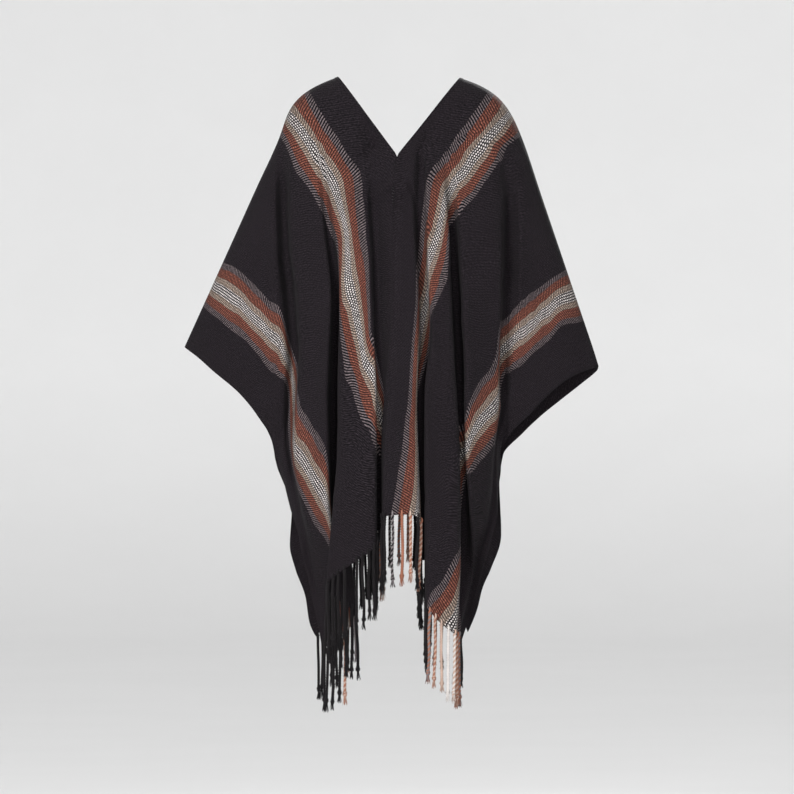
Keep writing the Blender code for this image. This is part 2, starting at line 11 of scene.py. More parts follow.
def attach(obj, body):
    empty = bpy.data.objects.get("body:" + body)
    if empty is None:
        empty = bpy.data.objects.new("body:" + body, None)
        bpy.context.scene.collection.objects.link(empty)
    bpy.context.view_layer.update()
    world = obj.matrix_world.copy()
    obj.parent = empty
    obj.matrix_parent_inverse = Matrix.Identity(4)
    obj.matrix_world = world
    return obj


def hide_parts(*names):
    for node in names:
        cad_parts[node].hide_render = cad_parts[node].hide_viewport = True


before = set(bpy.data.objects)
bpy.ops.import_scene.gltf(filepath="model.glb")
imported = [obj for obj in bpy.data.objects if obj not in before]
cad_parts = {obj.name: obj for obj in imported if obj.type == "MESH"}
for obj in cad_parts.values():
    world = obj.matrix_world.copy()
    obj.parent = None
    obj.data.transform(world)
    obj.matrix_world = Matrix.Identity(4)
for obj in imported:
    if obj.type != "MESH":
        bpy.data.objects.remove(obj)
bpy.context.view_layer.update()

# The cloth, in mm. These and the drape's tables are the solids' own.
HALF_WIDTH = 575.0
HALF_LENGTH = 855.0
WALL = 0.0024             # the solids' wall, m
SEAM_GAP = 0.0005
SLIT_ROW = 0.1845
VALLEY_HALF = 6.5
FOLD_SHARE = 0.86
LEAST_STAND = 62.0
ARM_STAND = 38.0
BACK_HEM_LIFT = 26.0
OUTER_AHEAD = 0.75
SELVAGE_BEHIND = 0.35
BACK_SWAY = 7.0
RUN_OUT = {"left": (600.0, 740.0), "right": (560.0, 670.0)}

# The fringe, in mm.
STRANDS = 36
STRAND_LENGTH = 124.0
ROOT_THICK = 2.4
FULL_AT = 0.08
STRIP_HEIGHT = 2.6
STRIP_GAP = 1.0
LEAST_STEP = 2.5
CLEAR_WALL = 0.0046
CLEAR_STRAND = 0.0072
CLEAR_STRIP = 0.0032
LEANS = [(a, b) for b in (0.0, 0.006, -0.006) for a in (0.0, 0.005, -0.005, 0.01, -0.01, 0.016, -0.016)]

ROWS = [0.0, 0.008, 0.03, 0.07, 0.12, SLIT_ROW, 0.26, 0.34, 0.43, 0.52, 0.61, 0.70, 0.79, 0.87, 0.94, 1.0]
COUNTS = {"face": 4, "wall": 3, "bottom": 1, "arm": 9}

# The finer cloth of this scene.
FINE_ROWS = np.concatenate([np.linspace(0.0, 0.03, 7)[:-1], np.linspace(0.03, 0.12, 10)[:-1],
                            np.linspace(0.12, SLIT_ROW, 8)[:-1], np.linspace(SLIT_ROW, 1.0, 90)])
FINE_COUNTS = {"face": 18, "wall": 12, "bottom": 3, "arm": 50}
BELLY = 0.10              # how far a face bellies out, as a share of its width,
BELLY_MOST = 9.0          # and at the most, mm
SINK = 11.0                # how far a valley sinks in beyond the solids', and how widely, mm
SINK_SPREAD = 19.0
OUTER_SINK = 13.0         # the valleys next to the arms sink in this much more
EASE = 5.0                # spread of the easing of bends, and its step, mm
EASE_STEP = 1.5
EASE_TOP = 12.0           # added to that spread on the shoulder, where the cloth lies smooth
BACK_RUN = {"left": 75.0, "right": 0.0}   # how far the stripes run over by the back's hem, mm
THIN = 1.3                # thickness of the cloth, mm
DOUBLED = 2.7             # and of its turned edge along the neck slit
TURNED = 7.0              # width of that turned edge
SLIT_LENGTH = 216.0       # of the slit, to each side of the fold over

# The drape's own tables, in mm: x across (left is negative) and drop below the neck tops.
# Line where each panel turns from front to back, over shoulder and arm: u in the flat cloth, x, drop.
FOLD_OVER = {
    "left": [
        (0, -105.6, -1.8),
        (30.6, -134.2, 8.9),
        (76.4, -173.6, 32.2),
        (110.9, -195.1, 59.1),
        (150.3, -206.7, 96.7),
        (257.2, -250.6, 194),
        (362.1, -293.6, 289.6),
        (470.7, -338.3, 388.4),
        (575, -381.3, 483.3),
    ],
    "right": [
        (0, 112.8, 0),
        (27.3, 139.6, 8.9),
        (66.8, 175.4, 28.6),
        (99.8, 198.7, 53.7),
        (151.6, 222, 102),
        (259.3, 257.8, 207.6),
        (364.2, 292.7, 310.6),
        (472.1, 328.5, 416.4),
        (575, 362.7, 517.3),
    ],
}
# Radius (mm) of the shoulder and the arm under the fold over, at u.
ROLL = [(0, 62), (150, 54), (250, 47), (575, 42)]
# Chest and skirt: drop, half width, how far the cloth stands out beyond the shoulder's radius.
CHEST = [
    (0, 107.4, 0),
    (59.1, 170.1, 16),
    (143.2, 200.5, 42),
    (220.2, 200.5, 62),
    (309.7, 200.5, 80),
    (399.2, 196.9, 96),
    (488.7, 193.3, 110),
    (578.2, 196.9, 122),
    (667.7, 211.2, 132),
    (784, 222, 140),
    (1016.7, 211.2, 140),
]
# Centre seam below the slit: drop, x, how far it lies in from the cloth's face.
SEAM = [
    (143.2, 0, 0),
    (184.4, -4.5, 1),
    (247, -7.2, 3),
    (327.6, -7.2, 4),
    (399.2, -7.2, 4),
    (470.8, -10.7, 4),
    (524.5, -16.1, 7),
    (578.2, -21.5, 14),
    (622.9, -25.1, 24),
    (667.7, -26.9, 30),
    (757.2, -26.9, 36),
    (864.6, -26.9, 36),
]
SEAM_HEM = 791.2
# Selvage: drop, x of the front and of the back, depth of the front and of the back.
SELVAGE = {
    "left": [
        (483.3, -381.3, -381.3, 0, 0),
        (499.4, -359.8, -359.8, 22, 22),
        (524.5, -331.2, -327.6, 36, 36),
        (565.6, -282.8, -281, 43, 46),
        (605, -250.6, -250.6, 46, 50),
        (653.4, -222, -225.5, 46, 52),
        (696.3, -214.8, -216.6, 46, 56),
        (728.5, -202.3, -204.1, 52, 60),
        (767.9, -189.7, -189.7, 58, 64),
        (810.9, -179, -191.5, 62, 68),
        (843.1, -171.8, -193.3, 64, 70),
        (886.1, -161.1, -182.6, 68, 72),
        (936.2, -150.4, -164.7, 70, 72),
        (980.9, -141.4, -157.5, 70, 70),
        (1016.7, -134.2, -141.4, 70, 68),
    ],
    "right": [
        (517.3, 362.7, 362.7, 0, 0),
        (522.7, 345.5, 360.7, 14, 14),
        (531.6, 322.2, 352.6, 26, 24),
        (549.5, 293.6, 331.2, 36, 36),
        (574.6, 264.9, 298.9, 42, 44),
        (605, 236.3, 261.3, 42, 48),
        (639, 202.3, 225.5, 40, 50),
        (676.6, 184.4, 191.5, 38, 52),
        (721.4, 183.5, 184.4, 44, 56),
        (775.1, 180.8, 186.2, 54, 60),
        (819.8, 171.8, 188, 60, 66),
        (861, 159.3, 179, 62, 70),
        (904, 146.8, 159.3, 64, 72),
        (954.1, 132.5, 145, 68, 72),
        (1007.8, 116.4, 123.5, 70, 68),
    ],
}
# Drops at which the fold lines' places are given.
STATIONS = [130.7, 220.2, 309.7, 399.2, 488.7, 578.2, 667.7, 757.2, 864.6, 989.9]
# Fold lines from the centre outward: name, kind, u at the fold over, x at the stations,
# u at the stations (None for a valley), how far an edge sinks or a valley may sink, drop of the hem.
FOLDS = {
    "left": [
        ("V3", "valley", 16,
         [-41.2, -41.2, -38.5, -36.7, -34, -30.4, -33.1, -33.1, -33.1, -33.1],
         None,
         None, 810.9),
        ("B_in", "edge", 34,
         [-68, -59.1, -51, -46.5, -43, -39.4, -39.4, -39.4, -39.4, -39.4],
         [50, 57, 62, 65, 66, 73, 125, 166, 184, 186],
         None, 839.5),
        ("B_out", "edge", 58,
         [-127.1, -114.6, -102, -98.5, -100.2, -102, -103.8, -112.8, -123.5, -130.7],
         [108, 114, 145, 150, 168, 192, 228, 254, 283, 292],
         None, 907.5),
        ("V2", "valley", 74,
         [-141.4, -128.9, -118.1, -109.2, -109.2, -112.8, -111, -105.6, -85.9, -66.2],
         None,
         [90, 90, 90, 90, 90, 90, 90, 80, 42, 22], 957.6),
        ("A_in", "edge", 90,
         [-152.2, -141.4, -128.9, -119.9, -123.5, -127.1, -125.3, -123.5, -107.4, -84.1],
         [124, 139, 172, 240, 298, 352, 411, 448, 480, 455],
         [0, 0, 0, 0, 0, 0, 0, 8, 40, 66], 986.3),
        ("A_out", "edge", 124,
         [-191.5, -191.5, -184.4, -173.6, -168.3, -175.4, -180.8, -170.1, -150.4, -125.3],
         [152, 188, 240, 306, 360, 414, 496, 508, 545, 556],
         [-10, -16, -19, -21, -20, -16, -6, 2, 50, 62], 1007.8),
        ("V1", "valley", 148,
         [-207.6, -204.1, -198.7, -189.7, -182.6, -188, -195.1, -178.1, -156.6, -131.6],
         None,
         [10, 17, 20, 22, 21, 17, 9, 30, 30, 30], 1011.4),
        ("Arm", "edge", 168,
         [-216.6, -218.4, -216.6, -211.2, -202.3, -205.8, -207.6, -184.4, -162.9, -136.9],
         [178, 262, 332, 383, 422, 505, 545, 560, 566, 570],
         [-8, -14, -17, -19, -18, -13, -2, 35, 52, 70], 1013.1),
    ],
    "right": [
        ("C_in", "edge", 14,
         [23.3, 14.3, 7.2, 4.5, 0, -10.7, -22.4, -24.2, -24.2, -24.2],
         [10, 14, 16, 18, 16, 14, 28, 34, 37, 37],
         None, 784),
        ("C_out", "edge", 34,
         [34, 26.9, 30.4, 34, 34, 30.4, 32.2, 34.9, 41.2, 41.2],
         [26, 38, 62, 72, 84, 80, 94, 104, 125, 125],
         None, 784),
        ("V4", "valley", 52,
         [44.8, 43, 43, 48.3, 50.1, 41.2, 43, 44.8, 47.4, 47.4],
         None,
         None, 864.6),
        ("D_in", "edge", 66,
         [57.3, 55.5, 57.3, 60.9, 64.4, 51.9, 53.7, 53.7, 53.7, 53.7],
         [56, 63, 100, 142, 178, 204, 232, 284, 348, 404],
         None, 946.9),
        ("D_out", "edge", 92,
         [84.1, 87.7, 93.1, 94.9, 98.5, 103.8, 107.4, 109.2, 108.3, 103.8],
         [79, 92, 163, 188, 226, 263, 299, 351, 414, 474],
         None, 993.5),
        ("V5", "valley", 106,
         [94.9, 96.7, 100.2, 105.6, 111, 112.8, 114.6, 118.1, 119, 108.3],
         None,
         None, 997),
        ("E_in", "edge", 122,
         [105.6, 111, 116.4, 119.9, 123.5, 125.3, 125.3, 130.7, 135.1, 112.8],
         [94, 126, 226, 310, 372, 428, 474, 512, 548, 560],
         [0, 0, 0, 0, 0, 0, 0, 18, 72, 80], 1000.6),
        ("E_out", "edge", 148,
         [180.8, 184.4, 182.6, 182.6, 180.8, 179, 170.1, 164.7, 143.2, 115.5],
         [148, 215, 300, 388, 441, 498, 510, 532, 562, 567],
         [-10, -16, -20, -22, -22, -16, -2, 24, 76, 80], 1002.4),
        ("V6", "valley", 162,
         [198.7, 200.5, 198.7, 196.9, 189.7, 188, 175.4, 170.1, 148.6, 117.4],
         None,
         [10, 17, 21, 23, 22, 17, 20, 30, 30, 30], 1004.2),
        ("Arm", "edge", 178,
         [214.8, 220.2, 222, 220.2, 211.2, 200.5, 179.9, 175.4, 153.9, 119.2],
         [172, 262, 342, 412, 470, 526, 560, 564, 570, 572],
         [-8, -13, -15, -16, -13, -6, 54, 52, 70, 85], 1006),
    ],
}

def through(at, stops, values):
    """Smooth line through the stops that never overshoots them."""
    at = np.clip(np.asarray(at, float), stops[0], stops[-1])
    stops, values = np.asarray(stops, float), np.asarray(values, float)
    gap = np.diff(stops)
    rise = np.diff(values) / gap
    slope = np.zeros(len(stops))
    same = rise[:-1] * rise[1:] > 0
    w1, w2 = 2 * gap[1:] + gap[:-1], gap[1:] + 2 * gap[:-1]
    flat = np.where(same, 1.0, 0.0)
    safe_a = np.where(same, rise[:-1], 1.0)
    safe_b = np.where(same, rise[1:], 1.0)
    slope[1:-1] = flat * (w1 + w2) / (w1 / safe_a + w2 / safe_b)
    slope[0], slope[-1] = rise[0], rise[-1]
    k = np.clip(np.searchsorted(stops, at, side="right") - 1, 0, len(gap) - 1)
    h = gap[k]
    f = (at - stops[k]) / h
    return (values[k] * (1 + 2 * f) * (1 - f) ** 2 + slope[k] * h * f * (1 - f) ** 2
            + values[k + 1] * f * f * (3 - 2 * f) - slope[k + 1] * h * f * f * (1 - f))


def fold_over(side, u):
    """Points across and down (mm) on the line where a panel turns from front to back."""
    table = FOLD_OVER[side]
    return (through(u, [row[0] for row in table], [row[1] for row in table]),
            through(u, [row[0] for row in table], [row[2] for row in table]))


def stand(side, x, drop):
    """How far (mm) the cloth stands before the shoulder plane: over shoulder and arm, and the chest."""
    u = np.linspace(0.0, HALF_WIDTH, 47)
    lx, ld = fold_over(side, u)
    dx, dd = lx[-1] - lx[-6], ld[-1] - ld[-6]
    run = math.hypot(dx, dd)
    lx = np.append(lx, lx[-1] + 900.0 * dx / run)
    ld = np.append(ld, ld[-1] + 900.0 * dd / run)
    u = np.append(u, HALF_WIDTH)
    shape = np.shape(x)
    px, pd = np.ravel(x)[:, None], np.ravel(drop)[:, None]
    ax, ad, bx, bd = lx[None, :-1], ld[None, :-1], lx[None, 1:], ld[None, 1:]
    along = ((px - ax) * (bx - ax) + (pd - ad) * (bd - ad)) / ((bx - ax) ** 2 + (bd - ad) ** 2)
    along = np.clip(along, 0.0, 1.0)
    far = np.hypot(px - ax - along * (bx - ax), pd - ad - along * (bd - ad))
    near = np.argmin(far, axis=1)
    pick = np.arange(len(near))
    q = far[pick, near]
    u_near = u[near] + along[pick, near] * (u[near + 1] - u[near])
    r = np.interp(u_near, [row[0] for row in ROLL], [row[1] for row in ROLL])
    roll = np.sqrt(np.maximum(r * r - np.maximum(r - q, 0.0) ** 2, 0.0))
    drops = [row[0] for row in CHEST]
    wide = through(pd[:, 0], drops, [row[1] for row in CHEST])
    proud = through(pd[:, 0], drops, [row[2] for row in CHEST])
    off = np.clip(np.abs(px[:, 0]) / wide, 0.0, 1.0)
    return (roll + proud * (1.0 - off ** 2.5) ** 0.8).reshape(shape)


def bend_through(nodes, before, counts):
    """Centripetal curve through each row of nodes (rows, nodes, values), split into counts."""
    after = 2 * nodes[:, -1:] - nodes[:, -2:-1]
    p = np.concatenate([before[:, None], nodes, after], axis=1)
    length = np.linalg.norm(np.diff(p[..., :3], axis=1), axis=2)
    knot = np.sqrt(np.maximum(length, 0.05))[..., None]
    pieces = []
    for k, count in enumerate(counts):
        a, b, c, d = p[:, k], p[:, k + 1], p[:, k + 2], p[:, k + 3]
        ta, tb, tc = knot[:, k], knot[:, k + 1], knot[:, k + 2]
        m1 = tb * ((b - a) / ta - (c - a) / (ta + tb) + (c - b) / tb)
        m2 = tb * ((c - b) / tb - (d - b) / (tb + tc) + (d - c) / tc)
        f = np.linspace(0.0, 1.0, count + 1)[None, :, None]
        if k < len(counts) - 1:
            f = f[:, :-1]
        b, c, m1, m2 = b[:, None], c[:, None], m1[:, None], m2[:, None]
        pieces.append(b * (1 + 2 * f) * (1 - f) ** 2 + m1 * f * (1 - f) ** 2
                      + c * f * f * (3 - 2 * f) - m2 * f * f * (1 - f))
    return np.concatenate(pieces, axis=1)


def fold_nodes(side, layer, t):
    """The fold lines of one half of a panel at the fractions t from the fold over to the hem.

    Gives nodes (rows, lines, (x, stand, drop, u)) in mm from the centre outward, and each line's kind.
    """
    sign = -1.0 if side == "left" else 1.0
    back = layer == "back"
    lift = BACK_HEM_LIFT if back else 0.0
    fade = np.clip((t - 0.02) / 0.12, 0.0, 1.0)
    kinds, xs, ys, drops, us, deepest = ["edge"], [], [], [], [], [None]
    # the slit and, below it, the centre seam
    x0, d0 = fold_over(side, 0.0)
    drop = d0 + (SEAM_HEM - lift - d0) * t
    seam_drops = [row[0] for row in SEAM]
    part = np.clip((drop - d0) / (seam_drops[0] - d0), 0.0, 1.0)
    x = np.where(part < 1.0, x0 + (SEAM[0][1] - x0) * part, through(drop, seam_drops, [row[1] for row in SEAM]))
    sunk = through(drop, seam_drops, [row[2] for row in SEAM]) * (part >= 1.0)
    xs.append(x)
    drops.append(drop)
    us.append(0.0 * t)
    ys.append(stand(side, x, drop) - sunk)
    for k, (_, kind, top, x_at, u_at, sink_at, hem) in enumerate(FOLDS[side]):
        tx, td = fold_over(side, top)
        ahead = OUTER_AHEAD * (k + 1.0) / len(FOLDS[side])
        drop = td + (hem - lift - td) * (t + ahead * t * (1.0 - t))
        used = [i for i, s in enumerate(STATIONS) if s > td + 15.0]
        stops = [td] + [STATIONS[i] for i in used]
        x = through(drop, stops, [tx] + [x_at[i] for i in used])
        kinds.append(kind)
        xs.append(x)
        drops.append(drop)
        sink = through(drop, STATIONS, sink_at) if sink_at else None
        if kind == "valley":
            us.append(None)
            ys.append(None)
            deepest.append(sink)
        else:
            us.append(through(drop, stops, [top] + [u_at[i] for i in used]))
            ys.append(stand(side, x, drop) - (0.0 if sink is None else sink * fade))
            deepest.append(None)
    # the selvage
    table = SELVAGE[side]
    tx, td = fold_over(side, HALF_WIDTH)
    drop = td + (table[-1][0] - 0.4 * lift - td) * (t - SELVAGE_BEHIND * t * (1.0 - t))
    kinds.append("selvage")
    xs.append(through(drop, [row[0] for row in table], [row[2 if back else 1] for row in table]))
    ys.append(through(drop, [row[0] for row in table], [row[4 if back else 3] for row in table]))
    drops.append(drop)
    us.append(HALF_WIDTH + 0.0 * t)
    if back:
        for k in range(len(xs) - 1):
            reach = np.clip(1.0 - (xs[k] / 200.0) ** 2, 0.0, 1.0) * np.clip((drops[k] - 170.0) / 150.0, 0.0, 1.0)
            xs[k] = xs[k] + BACK_SWAY * reach * np.sin(drops[k] / 150.0 + xs[k] / 45.0)
    nodes, lines = [], []
    for k, kind in enumerate(kinds):
        if kind != "valley":
            nodes.append(np.stack([xs[k], ys[k], drops[k], us[k]], axis=1))
            lines.append(kind)
            continue
        # a valley is as deep as the cloth hidden between its two edges allows
        hidden = us[k + 1] - us[k - 1]
        mouth = np.hypot(xs[k + 1] - xs[k - 1], ys[k + 1] - ys[k - 1])
        deep = 0.5 * np.sqrt(np.maximum(hidden ** 2 - mouth ** 2, 0.0))
        deep = FOLD_SHARE * deep ** 2 / (deep + 4.0) * fade
        level = 0.5 * (ys[k + 1] + ys[k - 1])
        least = ARM_STAND if k > len(FOLDS[side]) - 2 else LEAST_STAND
        deep = np.minimum(deep, np.maximum(level - least, 0.0))
        if deepest[k] is not None:
            deep = np.minimum(deep, deepest[k])
        u = 0.5 * (us[k + 1] + us[k - 1])
        here = np.stack([xs[k], level - deep], axis=1)
        # the flat bottom of a pleat that doubles back lies square to the middle between its walls
        to_prev = np.stack([xs[k - 1], ys[k - 1]], axis=1) - here
        to_next = np.stack([xs[k + 1], ys[k + 1]], axis=1) - here
        between = to_prev / np.linalg.norm(to_prev, axis=1)[:, None]
        between = between + to_next / np.linalg.norm(to_next, axis=1)[:, None] + (0.0, 0.4)
        across = sign * np.stack([between[:, 1], -between[:, 0]], axis=1)
        across /= np.linalg.norm(across, axis=1)[:, None]
        if deepest[k] is None:
            across = np.array([[sign, 0.0]])
        room = np.minimum(np.abs((to_next * across).sum(axis=1)), np.abs((to_prev * across).sum(axis=1)))
        half = np.minimum(VALLEY_HALF, 0.3 * room + 0.12 * deep)
        for way, line in ((-1.0, "valley"), (1.0, "bottom")):
            spot = here + way * half[:, None] * across
            nodes.append(np.stack([spot[:, 0], spot[:, 1], drops[k], u + way * half], axis=1))
            lines.append(line)
    # low down the last valley has run out, and the cloth goes straight to the selvage
    start, end = RUN_OUT[side]
    flat = np.clip((nodes[-5][:, 2] - start) / (end - start), 0.0, 1.0)[:, None]
    for k, share in ((-4, 0.18), (-3, 0.3), (-2, 0.45)):
        nodes[k] = nodes[k] * (1 - flat) + (nodes[-5] + (nodes[-1] - nodes[-5]) * share) * flat
    return np.stack(nodes, axis=1), lines


def half_panel(side, layer, rows, counts):
    """Middle surface of one half of a panel, from the fold over down to the hem.

    rows are the fractions from fold over to hem and counts the steps between fold lines.
    Gives points (m), and where each lies in the flat cloth (u from the centre, v from the fold over).
    """
    back = layer == "back"
    t = np.asarray(rows, float)
    nodes, lines = fold_nodes(side, layer, t)
    other, _ = fold_nodes("right" if side == "left" else "left", layer, t)
    joined = (t >= SLIT_ROW - 1e-6)[:, None]
    before = np.where(joined, other[:, 1] * (1, 1, 1, -1), 2 * nodes[:, 0] - nodes[:, 1])
    steps = []
    for a, b in zip(lines, lines[1:]):
        if b == "selvage":
            steps.append(counts["arm"])
        elif (a, b) == ("valley", "bottom"):
            steps.append(counts["bottom"])
        else:
            steps.append(counts["wall" if a == "bottom" or b == "valley" else "face"])
    grid = bend_through(nodes, before, steps)
    # the arm's part keeps to the shoulder form instead of the straight line across
    last = counts["arm"] + 1
    f = np.linspace(0.0, 1.0, last)[None, :]
    a, b = nodes[:, -2][:, None], nodes[:, -1][:, None]
    arm = a * (1 - f[..., None]) + b * f[..., None]
    top_x, top_drop = fold_over(side, arm[0, :, 3])
    pull = (1.0 - np.clip(t / 0.5, 0.0, 1.0))[:, None] ** 2
    arm[..., 0] += (top_x - arm[0, :, 0])[None, :] * pull
    arm[..., 2] += (top_drop - arm[0, :, 2])[None, :] * pull
    body = stand(side, arm[..., 0], arm[..., 2])
    miss_in = (nodes[:, -2, 1] - body[:, 0])[:, None]
    miss_out = (nodes[:, -1, 1] - body[:, -1])[:, None]
    over_arm = body + miss_in * (1 - f) ** 1.5 + miss_out * f ** 1.5
    hung = np.clip((t - 0.08) / 0.14, 0.0, 1.0)[:, None]
    arm[..., 1] = over_arm * (1.0 - hung) + arm[..., 1] * hung
    grid = np.concatenate([grid[:, :-last], arm], axis=1)
    # the first row lies on the fold over
    top_x, top_drop = fold_over(side, grid[0, :, 3])
    ease = np.exp(-(t / 0.03) ** 2)[:, None]
    grid[..., 0] += (top_x - grid[0, :, 0])[None, :] * ease
    grid[..., 2] += (top_drop - grid[0, :, 2])[None, :] * ease
    grid[0, :, 1] = 0.0
    points = np.stack([grid[..., 0], grid[..., 1] * (1.0 if back else -1.0), -grid[..., 2]], axis=2) / 1000.0
    # length of cloth down each line, stretched to the panel's own length
    step = np.linalg.norm(np.diff(points, axis=0), axis=2) * 1000.0
    skew = np.diff(grid[..., 3], axis=0)
    down = np.sqrt(np.maximum(step ** 2 - skew ** 2, (0.35 * step) ** 2))
    v = np.concatenate([np.zeros((1, grid.shape[1])), np.cumsum(down, axis=0)])
    return points, grid[..., 3], v / v[-1:] * HALF_LENGTH

def cloth_grid(side, rows, counts):
    """Middle surface of a panel from the front hem over to the back hem, with u and v (mm) in the flat cloth."""
    front, u_front, v_front = half_panel(side, "front", rows, counts)
    back, u_back, v_back = half_panel(side, "back", rows, counts)
    points = np.concatenate([front[::-1], back[1:]])
    u = np.concatenate([u_front[::-1], u_back[1:]])
    v = np.concatenate([-v_front[::-1], v_back[1:]])
    return points, u, v


def whole_panel(side):
    points, u, _ = cloth_grid(side, ROWS, COUNTS)
    to_next = points[:, 1] - points[:, 0]
    points[:, 0] += to_next / np.linalg.norm(to_next, axis=1)[:, None] * SEAM_GAP
    return points, u


def outward(side, points):
    """Unit normals of a grid, pointing out of the poncho."""
    down = np.gradient(points, axis=0)
    across = np.gradient(points, axis=1)
    normal = np.cross(across, down) if side == "left" else np.cross(down, across)
    return normal / np.maximum(np.linalg.norm(normal, axis=2), 1e-12)[..., None]


